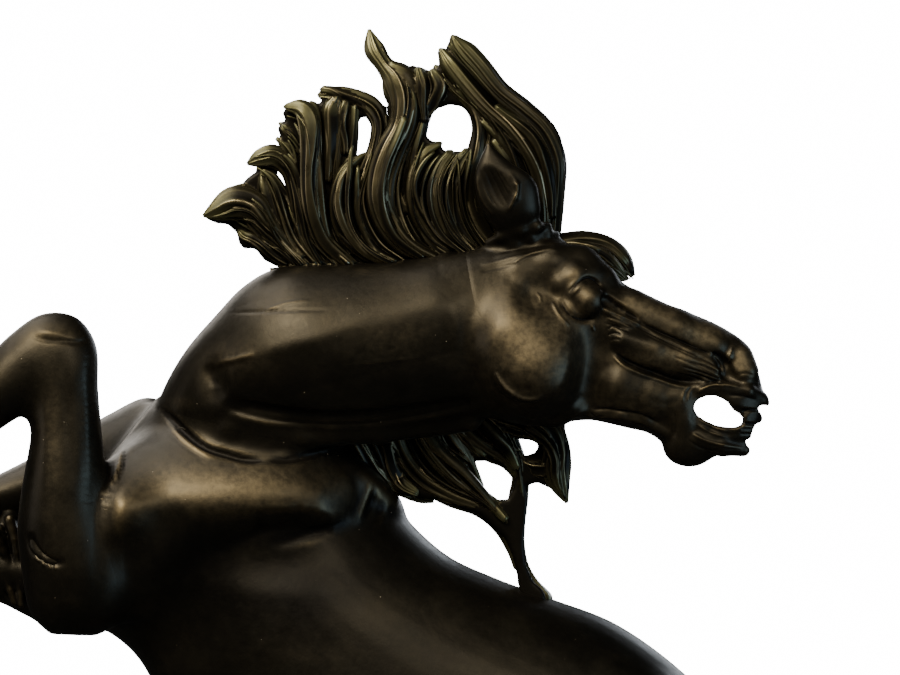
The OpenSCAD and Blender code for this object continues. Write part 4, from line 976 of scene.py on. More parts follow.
def tube(line, rng, ridges=8, per=6, depth=0.75, step=3.0, twist=0.6, root=8.0, grow=1.0, sharp=1.0):
    """A lock as a fluted tube: sharp ridges run along it with hollows between them. Returns points, quads, triangles, ridge value and place along it."""
    line = np.asarray(line, float)
    if root:
        d = line[0, :3] - line[1, :3]
        d = d / np.linalg.norm(d)
        line = np.vstack([np.concatenate([line[0, :3] + d * root, line[0, 3:]]), line])
    if line[-1, 3] > 2.2:
        d = line[-1, :3] - line[-2, :3]
        d = d / np.linalg.norm(d)
        w_ = line[-1, 3]
        line = np.vstack([line] + [np.concatenate([line[-1, :3] + d * w_ * e, line[-1, 3:] * f]) for e, f in ((0.45, 0.86), (0.78, 0.55), (0.95, 0.18))])
    T, s, length = resample(line, step / (1.0))
    n = len(T)
    C = W(T[:, 0], T[:, 1], T[:, 2])
    t = np.gradient(C, axis=0)
    for _ in range(2):
        t[1:-1] = (t[:-2] + 2 * t[1:-1] + t[2:]) / 4
    H = np.tile(np.array([0, 1.0, 0]), (n, 1))
    N = np.cross(t, H)
    N /= np.linalg.norm(N, axis=1)[:, None] + 1e-9
    w, h = np.maximum(T[:, 3], 0.7) * S * grow, np.maximum(T[:, 4], 0.7) * S * grow
    gaps = 0.5 + rng.rand(ridges) ** 1.5 * 1.7
    start = np.concatenate([[0], np.cumsum(gaps)])[:-1] / gaps.sum() * 2 * np.pi
    gaps = gaps / gaps.sum() * 2 * np.pi
    phase = rng.rand() * 2 * np.pi
    tw = rng.uniform(-1, 1) * twist
    amp = rng.uniform(0.08, 0.34, ridges)
    freq = rng.uniform(0.6, 1.9, ridges)
    ph = rng.rand(ridges) * 6.28
    m = ridges * per
    x = (np.arange(per) / per)
    ring = np.zeros((n, m, 3))
    val = np.zeros((n, m))
    dj = rng.uniform(0.35, 1.9, ridges)
    bright = rng.uniform(0.0, 1.2, ridges)
    for i in range(n):
        pos = start + phase + tw * s[i] + amp * np.sin(freq * 6.28 * s[i] + ph) * gaps.min() * 2
        nxt = np.concatenate([pos[1:], [pos[0] + 2 * np.pi]])
        g = nxt - pos
        th = (pos[:, None] + x[None, :] * g[:, None]).ravel()
        hollow = 4 * x * (1 - x)
        bowl = (hollow[None, :] * (np.minimum(g, 1.1) * dj)[:, None]).ravel()
        scale = min(w[i], h[i])
        cut = depth * 0.2 * bowl
        small = 0.018 * np.sin(th * 19 + 5 * s[i])
        r = 1 - cut + small * (scale > 1.2)
        ring[i] = C[i] + (N[i][None] * (w[i] * np.cos(th) * r)[:, None]) + H[i][None] * (h[i] * np.sin(th) * r)[:, None]
        # ridge value for colour: painted highlight of random strength along each ridge, painted shade in the hollows
        # between ridges
        lit = np.repeat(bright * (0.62 + 0.38 * np.sin(freq * 9.0 * s[i] + ph * 2)), per)
        val[i] = np.tile((1 - hollow) ** 3, ridges) * lit + (-0.7 * (bowl / 1.1)) * 1.0
    p, q, tr = skin_mesh(ring)
    v = np.concatenate([val.ravel(), [0, 0.3]])
    sl = np.concatenate([np.repeat(s, m), [0, 1]])
    return p, q, tr, v, sl


def inside(poly, u, v):
    poly = np.asarray(poly, float)
    ok = np.zeros(len(u), bool)
    for i in range(len(poly)):
        a, b = poly[i], poly[(i + 1) % len(poly)]
        c = (a[1] > v) != (b[1] > v)
        ok ^= c & (u < (b[0] - a[0]) * (v - a[1]) / (b[1] - a[1] + 1e-12) + a[0])
    return ok


def clip_line(T, outline, holes, margin=3.0, root_v=246):
    """Stops a strand where it would leave the outline or enter a hole."""
    u, v = T[:, 0], T[:, 1]
    ok = inside(outline, u, v)
    for du, dv in ((margin, 0), (-margin, 0), (0, margin), (0, -margin)):
        ok &= inside(outline, u + du, v + dv) | (np.abs(v - root_v) < 6)
    for h in holes:
        for du, dv in ((0, 0), (margin, 0), (-margin, 0), (0, margin), (0, -margin)):
            ok &= ~inside(h, u + du, v + dv)
    if root_v < 300:
        ok |= v > root_v
    bad = np.where(~ok)[0]
    bad = bad[bad > 3]
    if len(bad):
        T = T[:bad[0]]
    return T


def between(A, B, f, off, w, h, outline, holes, rng, root_v=246):
    """A thin strand that runs between two neighbouring locks."""
    a, sa, la = resample(A, 4)
    b, sb, lb = resample(B, 4)
    n = 40
    x = np.linspace(0, 1, n)
    pa = np.stack([np.interp(x, sa, a[:, k]) for k in range(5)], 1)
    pb = np.stack([np.interp(x, sb, b[:, k]) for k in range(5)], 1)
    c = pa * (1 - f) + pb * f
    c[:, 2] = c[:, 2] + off + rng.uniform(-1, 1)
    c[:, 0] += rng.uniform(1.0, 3.6) * np.sin(x * 6.28 * rng.uniform(0.5, 1.3) + rng.rand() * 6)
    c[:, 2] += rng.uniform(0.5, 3.0) * np.sin(x * 6.28 * rng.uniform(0.6, 1.4) + rng.rand() * 6)
    c[:, 3] = w * np.interp(x, [0, 0.15, 0.7, 1], [1, 1, 0.85, 0.25])
    c[:, 4] = h * np.interp(x, [0, 0.15, 0.7, 1], [1, 1, 0.85, 0.25])
    c = clip_line(c, outline, holes, 3.0, root_v)
    if len(c) < 8:
        return None
    k = min(6, len(c))
    c[-k:, 3] *= np.linspace(1, 0.25, k)
    c[-k:, 4] *= np.linspace(1, 0.3, k)
    return c[::3] if len(c) > 14 else c[::2]


def slab(lo, hi, h, outline, holes, y0, half, extra=None, inset=0.7, radius=1.6):
    vol = Vol(lo, hi, h * (1.0))
    d = polygon_field(vol, outline, y0)
    for hole in holes:
        d = np.maximum(d, -polygon_field(vol, hole, y0))
    if extra is not None:
        d = np.maximum(d, extra(vol))
    Y = vol.ax[1][None, :, None]
    x = np.maximum(d + inset + radius, 0)
    F = np.sqrt(x * x + ((Y - y0 * S) * (radius / half)) ** 2) - radius
    p, q, t = vol.polys(F.astype(np.float32))
    return p, q, t


def shell(name, p, q, t, v, s):
    # a closed shell must face outwards: a union keeps the surface inside an inside-out shell, and keeps it twice
    q, t = np.asarray(q).reshape(-1, 4), np.asarray(t).reshape(-1, 3)
    tri = np.concatenate([q[:, [0, 1, 2]], q[:, [0, 2, 3]], t])
    vol = np.einsum("ij,ij->i", p[tri[:, 0]], np.cross(p[tri[:, 1]], p[tri[:, 2]])).sum() / 6
    if vol < 0:
        q, t = q[:, ::-1], t[:, ::-1]
    return to_object(name, p, np.ascontiguousarray(q), np.ascontiguousarray(t), {"ridge": v, "along": s})


def joined(name, parts, replaces, slot):
    """Fuses closed shells into one watertight piece."""
    obs = [shell("%s_%d" % (name, i), *x) for i, x in enumerate(parts)]
    col = bpy.data.collections.new(name + "_parts")
    for o in obs[1:]:
        col.objects.link(o)
    b = obs[0]
    md = b.modifiers.new("fuse", "BOOLEAN")
    md.operation = "UNION"
    md.operand_type = "COLLECTION"
    md.collection = col
    md.solver = "MANIFOLD"
    dg = bpy.context.evaluated_depsgraph_get()
    me = bpy.data.meshes.new_from_object(b.evaluated_get(dg))
    me.name = name
    for o in obs:
        m_ = o.data
        bpy.data.objects.remove(o)
        bpy.data.meshes.remove(m_)
    bpy.data.collections.remove(col)
    # keep the largest connected body
    bm = bmesh.new()
    bm.from_mesh(me)
    bm.verts.ensure_lookup_table()
    seen = np.zeros(len(bm.verts), bool)
    best = None
    for v0 in bm.verts:
        if seen[v0.index]:
            continue
        stack, comp = [v0], []
        seen[v0.index] = True
        while stack:
            x = stack.pop()
            comp.append(x)
            for e in x.link_edges:
                y = e.other_vert(x)
                if not seen[y.index]:
                    seen[y.index] = True
                    stack.append(y)
        if best is None or len(comp) > len(best):
            best = comp
    keep = set(x.index for x in best)
    bmesh.ops.delete(bm, geom=[x for x in bm.verts if x.index not in keep], context="VERTS")
    bmesh.ops.dissolve_degenerate(bm, dist=1e-6, edges=bm.edges)
    # flaps without thickness: faces that share all their corners
    bm.verts.index_update()
    same = {}
    for f in bm.faces:
        same.setdefault(tuple(sorted(v.index for v in f.verts)), []).append(f)
    flaps = [f for g in same.values() if len(g) > 1 for f in (g if len(g) % 2 == 0 else g[1:])]
    bmesh.ops.delete(bm, geom=flaps, context="FACES")
    bm.to_mesh(me)
    bm.free()
    for x in me.polygons:
        x.use_smooth = True
    ob = bpy.data.objects.new(name, me)
    bpy.context.scene.collection.objects.link(ob)
    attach(ob, "root")
    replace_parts(ob, replaces)
    PIECES[name] = ob
    SLOTS[name] = slot
    print("piece %s: %d faces from %d shells, %.1f s" % (name, len(me.polygons), len(parts), time.time() - T0))
    return ob


CREST_OUT = [(263, 262), (254, 250.5), (243, 251), (237, 244), (235, 234), (227, 226.5), (216.5, 225.6), (206.6, 221.5), (201, 216), (206, 210), (215, 206.6), (221.5, 196),
             (230, 187.5), (239, 184), (246, 176), (256, 169), (246, 164), (247, 159), (256, 151), (269, 145), (278, 151), (274, 138), (278, 136), (275, 128), (279.6, 122),
             (283, 119.5), (280, 113), (286, 104), (294.5, 99), (306, 100), (319, 101), (320, 91), (322, 86), (336, 85.5), (349, 87), (364, 93), (376, 97), (386, 104), (386.5, 98),
             (383, 90), (385, 81), (379, 75), (372, 66), (367.5, 53), (361, 45), (363, 35), (369, 27.5), (376, 32), (381, 43), (384, 56), (396, 60), (409, 63.5), (420, 65),
             (433, 69), (436.6, 66), (436, 58), (443, 50), (447, 40), (454.5, 36), (461, 38), (466, 45), (476, 48), (482, 58), (489, 68), (501, 80), (517.5, 91), (534, 103),
             (547, 113), (557, 124.5), (563, 136), (566.5, 151), (566.5, 166), (563, 181), (561.5, 196), (560, 211), (562, 221), (562.7, 234), (556, 250), (453, 262), (400, 268),
             (339, 275), (289, 275)]
HOLE_A = [(362.5, 119.5), (368, 119.5), (371.6, 129.5), (370, 143), (366, 153), (359, 155), (358, 144), (358, 129.5)]
HOLE_B = [(280, 171), (284.5, 170), (288, 179), (289, 189), (287, 194), (281, 187.5), (279.6, 179)]
HOLE_C = [(431, 119.5), (438, 111), (450, 107), (461, 109), (469, 116), (472, 128), (469.5, 143), (463, 149), (453, 149), (445, 148), (440, 139), (433, 139), (429, 136), (431, 126)]
SPLIT = [(430, 300), (416, 262), (386, 240), (373, 215), (369, 198), (374, 172), (384, 148), (389, 126), (386, 104), (386, 60), (386, 0), (100, 0), (100, 300)]
LOWER_OUT = [(352, 425), (354, 446), (361, 468), (372, 484), (388, 493), (400, 497), (413, 499.5), (428, 502), (436, 501), (455, 509), (478, 516), (489, 526), (503, 540), (510, 555), (514, 572), (515, 580), (520, 606), (548, 606),
             (548, 597), (545, 589), (535, 580), (528, 564.5), (526, 545), (528, 524), (530, 501), (528, 488), (537, 485), (548.5, 490), (558, 498), (567, 504), (572, 487), (570.5, 473),
             (568.6, 448), (567.7, 423), (560, 400), (460, 400), (390, 415)]
HOLE_D = [(517, 438), (526.5, 439), (536, 446), (533, 451), (525.6, 453)]
HOLE_E = [(472, 464), (497, 463), (506, 467), (513, 476.5), (511, 488), (506, 497), (493, 497), (482, 494), (476, 488), (476, 478), (472, 469)]
FORE_OUT = [(545, 243), (562, 238), (568, 234), (581, 232), (595, 232), (607, 235), (619, 243.5), (630, 254), (635, 265), (637, 276), (632, 275), (627, 279), (620, 282), (608, 282), (592, 276), (570, 270), (550, 268)]

CREST_REAR = [
    [[278, 270, -62, 3, 6], [300, 268, -64, 5, 9], [322, 270, -66, 6, 11], [344, 268, -64, 5, 11], [366, 270, -67, 6, 11], [388, 267, -65, 5, 11], [404, 266, -66, 4, 9]],
    [[292, 262, -60, 8, 9], [270, 248, -58, 8, 9], [256, 236, -56, 9, 9], [248, 228, -55, 9, 8], [243, 222, -54, 3, 4]],
    [[300, 263, -62, 8, 10], [282, 246, -64, 11, 11], [266, 225, -66, 12, 12], [252, 207, -68, 16, 13], [234, 204, -70, 17, 11], [216, 211, -72, 10, 7], [203, 216, -73, 1.5, 1.5]],
    [[308, 262, -60, 8, 9], [290, 243, -60, 10, 10], [278, 222, -60, 10, 10], [269, 203, -60, 11, 10], [264, 187, -60, 12, 9], [262, 170, -60, 6, 5]],
    [[318, 262, -62, 8, 10], [304, 240, -64, 8, 10], [298, 215, -66, 6, 9], [294, 192, -66, 6, 9], [288, 170, -66, 8, 8], [275, 157, -67, 12, 8], [260, 159, -68, 10, 6], [247, 164, -69, 1.5, 1.5]],
    [[326, 262, -62, 7, 9], [310, 240, -62, 7, 9], [304, 215, -62, 6, 8], [300, 190, -62, 6, 8], [296, 165, -62, 7, 7], [288, 148, -62, 6, 5], [276, 138, -62, 2, 2]],
    [[334, 262, -58, 7, 9], [316, 240, -56, 7, 9], [309, 215, -56, 6, 9], [306, 190, -56, 6, 9], [303, 165, -56, 7, 8], [300, 145, -56, 8, 8], [292, 130, -56, 9, 7], [281, 124, -56, 3, 3]],
    [[348, 262, -66, 8, 12], [326, 243, -70, 9, 12], [315, 220, -73, 9, 12], [310, 195, -74, 9, 12], [309, 170, -74, 9, 12], [310, 145, -73, 10, 12], [309, 122, -72, 12, 11], [301, 109, -71, 10, 9], [287, 107, -70, 4, 4]],
    [[356, 262, -56, 9, 12], [338, 240, -54, 10, 12], [330, 215, -52, 10, 11], [327, 190, -51, 10, 11], [327, 165, -50, 10, 10], [328, 140, -50, 10, 10], [331, 118, -50, 10, 9], [336, 104, -50, 6, 5]],
    [[370, 262, -50, 9, 12], [352, 235, -46, 9, 12], [344, 205, -42, 9, 11], [344, 180, -40, 9, 11], [348, 155, -38, 9, 10], [350, 130, -38, 9, 10], [352, 108, -38, 6, 6]],
    [[388, 262, -64, 8, 12], [364, 250, -68, 9, 12], [346, 230, -70, 10, 12], [338, 207, -71, 9, 12], [340, 185, -71, 8, 10], [348, 169, -70, 7, 8], [360, 158, -68, 4, 5], [367, 153, -67, 1.5, 2]],
    [[402, 260, -62, 9, 12], [380, 245, -64, 10, 12], [366, 222, -66, 10, 12], [361, 198, -67, 10, 12], [367, 172, -67, 9, 11], [376, 148, -66, 8, 10], [380, 125, -64, 9, 10], [372, 107, -62, 10, 10], [352, 97, -60, 9, 9], [336, 95, -60, 9, 8], [322, 95, -60, 5, 5]]]
CREST_FRONT = [
    [[396, 268, -66, 4, 9], [416, 265, -69, 6, 12], [440, 260, -67, 5, 13], [464, 256, -70, 7, 14], [490, 251, -68, 6, 15], [520, 247, -70, 5, 13], [544, 245, -66, 3, 8]],
    [[432, 258, -66, 9, 12], [406, 245, -70, 11, 13], [388, 225, -73, 12, 14], [379, 200, -75, 12, 14], [380, 175, -75, 12, 13], [388, 150, -74, 12, 13], [400, 125, -72, 12, 12], [403, 100, -70, 14, 12], [396, 78, -68, 14, 11], [384, 64, -66, 9, 8], [374, 48, -64, 10, 6], [369, 29, -62, 1.5, 1.5]],
    [[404, 128, -60, 8, 8], [397, 106, -60, 8, 8], [389, 92, -60, 6, 6], [384, 82, -60, 2, 2]],
    [[442, 256, -62, 9, 12], [420, 240, -60, 10, 12], [406, 215, -58, 10, 12], [401, 190, -57, 10, 11], [404, 165, -56, 9, 11], [412, 142, -56, 9, 10], [421, 120, -56, 9, 10], [426, 100, -56, 10, 10], [424, 82, -56, 10, 9], [412, 71, -57, 6, 6]],
    [[457, 254, -66, 8, 10], [434, 238, -69, 9, 10], [418, 215, -71, 9, 10], [412, 190, -71, 8, 10], [416, 168, -70, 7, 9], [426, 152, -69, 6, 8], [440, 144, -68, 3, 4]],
    [[467, 254, -70, 8, 10], [448, 235, -74, 8, 10], [437, 210, -76, 8, 10], [434, 188, -76, 8, 10], [440, 168, -74, 7, 9], [450, 154, -72, 5, 5]],
    [[480, 253, -68, 8, 12], [463, 232, -70, 9, 12], [453, 208, -72, 9, 12], [452, 185, -72, 8, 12], [458, 166, -70, 8, 9], [467, 152, -68, 5, 5]],
    [[494, 250, -66, 10, 14], [478, 225, -66, 11, 14], [470, 200, -66, 11, 13], [471, 175, -66, 10, 12], [477, 150, -64, 9, 12], [479, 128, -62, 7, 11], [473, 108, -60, 7, 10], [458, 94, -58, 8, 10], [444, 82, -58, 9, 9], [437, 69, -58, 5, 5]],
    [[516, 246, -58, 12, 14], [506, 222, -56, 13, 14], [502, 196, -56, 13, 12], [503, 170, -56, 13, 12], [503, 148, -56, 12, 12], [496, 128, -58, 11, 12], [480, 110, -60, 10, 10], [462, 92, -62, 9, 9]],
    [[540, 242, -62, 9, 12], [544, 222, -64, 10, 12], [542, 196, -66, 11, 12], [537, 172, -68, 12, 12], [525, 148, -70, 13, 12], [508, 126, -71, 13, 12], [486, 106, -71, 12, 11], [466, 84, -70, 12, 10], [450, 64, -68, 11, 9], [442, 52, -67, 5, 5]],
    [[552, 240, -58, 8, 14], [553, 222, -56, 9, 15], [555, 190, -55, 10, 15], [554, 160, -56, 12, 14], [542, 132, -58, 13, 13], [522, 112, -60, 13, 12], [498, 93, -62, 13, 11], [478, 70, -64, 14, 10], [462, 52, -65, 13, 9], [454, 39, -66, 5, 5]]]
LOWER = [
    [[350, 430, -34, 8, 9], [360, 449, -30, 10, 10], [374, 469, -25, 9, 9], [388, 483, -20, 7, 7], [402, 492, -16, 5, 5], [414, 497, -12, 2, 2]],
    [[374, 425, -20, 11, 12], [382, 448, -17, 11, 12], [390, 470, -14, 10, 11], [402, 488, -10, 8, 8], [420, 498, -8, 5, 5], [434, 501, -8, 2, 2]],
    [[392, 420, -22, 10, 12], [402, 452, -20, 10, 12], [422, 478, -18, 11, 11], [450, 495, -16, 12, 10], [480, 507, -14, 10, 9], [502, 526, -12, 9, 8], [513, 548, -10, 7, 7], [518, 566, -8, 5, 6]],
    [[412, 415, -26, 10, 12], [428, 446, -26, 11, 12], [448, 470, -24, 11, 11], [470, 488, -22, 8, 8], [492, 502, -20, 6, 6], [512, 516, -16, 6, 6]],
    [[432, 412, -22, 11, 12], [448, 436, -20, 12, 12], [462, 455, -18, 11, 10], [472, 470, -18, 6, 6], [480, 486, -18, 4, 4]],
    [[450, 408, -24, 12, 12], [466, 430, -22, 14, 12], [488, 446, -20, 14, 11], [508, 458, -18, 11, 10], [520, 474, -16, 8, 8]],
    [[476, 405, -22, 11, 12], [500, 424, -20, 12, 12], [515, 448, -16, 8, 10], [521, 472, -14, 8, 9], [518, 498, -12, 10, 9], [516, 522, -10, 10, 9], [518, 546, -8, 8, 8], [522, 566, -6, 8, 9], [530, 584, -4, 10, 12], [540, 600, -2, 14, 16]],
    [[496, 420, -24, 9, 9], [516, 430, -24, 8, 9], [534, 434, -24, 7, 8], [548, 442, -24, 6, 7]],
    [[516, 462, -16, 6, 7], [534, 468, -19, 9, 7], [550, 470, -22, 8, 6]],
    [[500, 408, -30, 10, 10], [528, 418, -28, 12, 10], [548, 430, -26, 14, 10], [556, 450, -24, 14, 9], [556, 470, -22, 15, 8], [561, 488, -20, 9, 6], [567, 503, -18, 1.5, 1.5]]]
FORELOCK = [
    [[540, 247, -58, 9, 10], [562, 243, -54, 10, 13], [586, 242, -52, 11, 14], [608, 248, -50, 11, 13], [624, 262, -50, 9, 10], [634, 276, -49, 1.5, 2]],
    [[550, 252, -68, 8, 9], [576, 249, -72, 9, 10], [598, 256, -72, 9, 10], [615, 268, -68, 7, 9], [628, 280, -62, 1.5, 2]],
    [[556, 260, -74, 7, 8], [580, 261, -78, 7, 8], [600, 268, -76, 6, 8], [614, 276, -72, 4, 6], [622, 282, -68, 1.5, 2]]]
TAIL = [
    [752, 800, 0, 16, 14], [778, 806, 0, 18, 17], [806, 838, 0, 22, 22], [824, 890, 0, 26, 26], [830, 950, -2, 30, 30], [826, 1020, -6, 33, 33],
    [814, 1090, -8, 33, 34], [800, 1160, -6, 30, 32], [782, 1225, -2, 26, 28], [766, 1290, 0, 22, 22]]


def hair_piece(name, locks, holes, outline, slot, seed, base_first=True, web=None, strands=3, offs=(-8, 8), sw=3.0, sh=4.5, ridges=9, more=(), extra=(), root_v=246, mid_y=-62):
    rng = np.random.RandomState(seed)
    parts = []
    if web is not None:
        p, q, t = web
        # the web behind the locks gets a deep-hollow value, so it is painted near black as shade
        parts.append((p, q, t, np.full(len(p), -0.6), np.full(len(p), 0.4)))
    for i, L in enumerate(locks):
        big = max(r[3] for r in L)
        n = ridges if big > 7 else 5
        parts.append(tube(L, rng, ridges=n, per=6, depth=1.0 if big > 7 else 0.7, grow=1.04))
    seq = locks[1:] if base_first else locks
    seq = [L for L in seq if sum(math.dist(a[:2], b[:2]) for a, b in zip(L[:-1], L[1:])) > 62 or not base_first]
    for i in range(len(seq) - 1):
        for j in range(strands):
            for off in offs:
                f = (j + 1) / (strands + 1) + rng.uniform(-0.08, 0.08)
                k_ = rng.uniform(0.55, 1.7)
                c = between(seq[i], seq[i + 1], f, off + rng.uniform(-4.0, 3.0), sw * k_, sh * (0.6 + 0.4 * k_), outline, holes, rng, root_v)
                if c is not None:
                    parts.append(tube(c, rng, ridges=4, per=4, depth=0.9, step=4.0, root=4))
    for L in extra:
        for off, turn in ((-5, 1), (0, -1)):
            # one in front of the web, one behind it
            c = np.array(L, float)
            c[:, 2] = c[:, 2] + off if turn > 0 else 2 * mid_y - c[:, 2] + 3
            c[:, 3] *= 1.15
            parts.append(tube(c, rng, ridges=6, per=5, depth=1.0, step=3.0, root=4))
    for L in more:
        parts.append(tube(L, rng, ridges=4, per=4, depth=0.8, step=3.0, root=0))
    return joined(name, parts, REPLACES[name], slot)


REPLACES = {"crest_mane_rear_sculpt": "crest_mane_rear", "crest_mane_front_sculpt": "crest_mane_front", "lower_mane_sculpt": "lower_mane", "forelock_sculpt": "forelock", "tail_sculpt": "tail"}


def surface_strands(L, rng, n, w, reach=0.8):
    """Thin raised strands that wander over a lock."""
    T, s, length = resample(L, 4)
    out = []
    for k in range(n):
        a0 = rng.uniform(0, 6.28)
        dr = rng.uniform(-1.6, 1.6)
        s0, s1 = sorted((rng.uniform(0, 0.35), rng.uniform(0.6, 0.97)))
        c = T[(s >= s0) & (s <= s1)].copy()
        if len(c) < 8:
            continue
        x = np.linspace(0, 1, len(c))
        a = a0 + dr * x + 0.25 * np.sin(6.28 * x * rng.uniform(0.6, 1.5))
        d = np.gradient(c[:, :2], axis=0)
        d /= np.linalg.norm(d, axis=1)[:, None] + 1e-9
        nx, ny = -d[:, 1], d[:, 0]
        ww, hh = c[:, 3] * 1.0 * reach, c[:, 4] * reach
        c[:, 0] += nx * ww * np.cos(a)
        c[:, 1] += ny * ww * np.cos(a)
        c[:, 2] += hh * np.sin(a)
        e = np.clip(np.minimum(x, 1 - x) / 0.2, 0.12, 1)
        c[:, 3] = w * e * rng.uniform(0.8, 1.3)
        c[:, 4] = w * e * rng.uniform(0.8, 1.3)
        out.append(c[::2])
    return out


EXTRA_REAR = [
    [[328, 178, -58, 6, 8], [330, 152, -57, 8, 8], [331, 128, -57, 9, 8], [332, 110, -57, 9, 8], [336, 100, -58, 6, 6]],
    [[346, 150, -56, 4, 6], [344, 128, -56, 5, 6], [344, 110, -57, 6, 6], [346, 101, -58, 5, 5]],
    [[352, 250, -60, 4, 6], [338, 215, -58, 4.5, 6], [336, 180, -58, 4.5, 6], [338, 150, -58, 4.5, 6], [342, 122, -58, 4.5, 6], [346, 102, -58, 4, 5]],
    [[358, 240, -56, 4, 6], [346, 205, -54, 4, 6], [346, 175, -54, 4, 6], [352, 150, -55, 4, 6], [354, 128, -56, 4, 6], [355, 108, -57, 4, 5]],
    [[300, 255, -60, 5, 7], [282, 235, -58, 5, 7], [268, 214, -57, 6, 7], [256, 200, -58, 6, 7], [246, 190, -60, 6, 6], [234, 190, -62, 4, 4]],
    [[290, 258, -58, 5, 7], [268, 240, -56, 6, 7], [254, 226, -56, 6, 6], [243, 214, -58, 5, 5], [232, 214, -60, 3, 3]],
    [[312, 250, -58, 4, 6], [296, 220, -57, 4, 6], [288, 200, -58, 3.5, 6], [280, 186, -60, 4, 5], [272, 176, -61, 4, 5], [264, 172, -62, 4, 4]],
    [[284, 262, -56, 4, 6], [266, 250, -54, 5, 6], [252, 240, -54, 6, 6], [244, 236, -55, 5, 5], [240, 232, -55, 3, 3]],
    [[322, 190, -60, 4, 6], [319, 165, -60, 4, 6], [318, 140, -60, 4.5, 6], [316, 118, -60, 5, 6], [312, 106, -60, 5, 5]],
    [[296, 150, -58, 4, 5], [290, 136, -57, 4.5, 5], [284, 128, -57, 4, 4]],
    [[372, 118, -58, 4, 6], [364, 106, -57, 5, 6], [350, 98, -57, 5, 6], [334, 92, -58, 5, 6], [324, 90, -58, 4, 5]],
]
EXTRA_FRONT = [
    [[404, 210, -62, 5, 7], [396, 185, -62, 5, 7], [400, 160, -60, 5, 7], [410, 138, -60, 5, 7], [420, 116, -58, 5, 7], [430, 98, -58, 6, 6], [442, 90, -58, 5, 5]],
    [[410, 124, -64, 6, 7], [413, 104, -64, 8, 8], [410, 86, -64, 10, 9], [402, 74, -64, 9, 8], [392, 67, -64, 6, 6]],
    [[422, 116, -62, 5, 7], [432, 100, -62, 9, 8], [438, 87, -62, 10, 8], [434, 76, -62, 7, 7]],
    [[424, 118, -66, 4, 7], [423, 98, -66, 8, 8], [422, 84, -66, 9, 8], [419, 73, -66, 6, 6]],
    [[498, 200, -58, 6, 8], [490, 175, -58, 6, 8], [488, 152, -58, 6, 8], [490, 135, -58, 5, 7], [482, 118, -58, 5, 7], [470, 104, -58, 5, 6]],
    [[536, 236, -58, 5, 8], [532, 210, -58, 6, 8], [526, 180, -60, 7, 8], [514, 155, -62, 7, 8], [498, 135, -64, 6, 7], [484, 122, -64, 4, 6]],
    [[524, 236, -62, 5, 8], [520, 212, -62, 6, 8], [516, 186, -62, 6, 8], [508, 160, -64, 6, 8], [496, 142, -65, 5, 6]],
    [[552, 214, -66, 4, 6], [551, 190, -68, 5, 6], [546, 164, -70, 6, 7], [534, 140, -72, 6, 7], [516, 122, -73, 5, 6], [498, 108, -72, 4, 5]],
    [[420, 256, -72, 4, 6], [396, 238, -76, 5, 7], [384, 215, -79, 5, 7], [381, 190, -80, 4.5, 7], [386, 165, -80, 4, 6], [396, 140, -79, 4, 6], [404, 120, -77, 3.5, 5]],
]
EXTRA_LOWER = [
    [[384, 430, -24, 6, 7], [388, 452, -22, 6, 7], [392, 470, -20, 7, 7], [402, 484, -16, 7, 7], [414, 492, -14, 5, 5]],
    [[420, 425, -28, 6, 7], [440, 452, -27, 6, 7], [462, 472, -25, 6, 6], [486, 498, -20, 5, 6], [504, 518, -16, 4, 5]],
    [[470, 415, -30, 6, 7], [490, 432, -28, 7, 7], [506, 448, -25, 6, 6], [516, 466, -22, 4, 5]],
    [[530, 428, -30, 5, 6], [546, 440, -29, 6, 6], [554, 458, -28, 6, 6], [556, 476, -26, 5, 5], [560, 490, -24, 3, 4]],
]


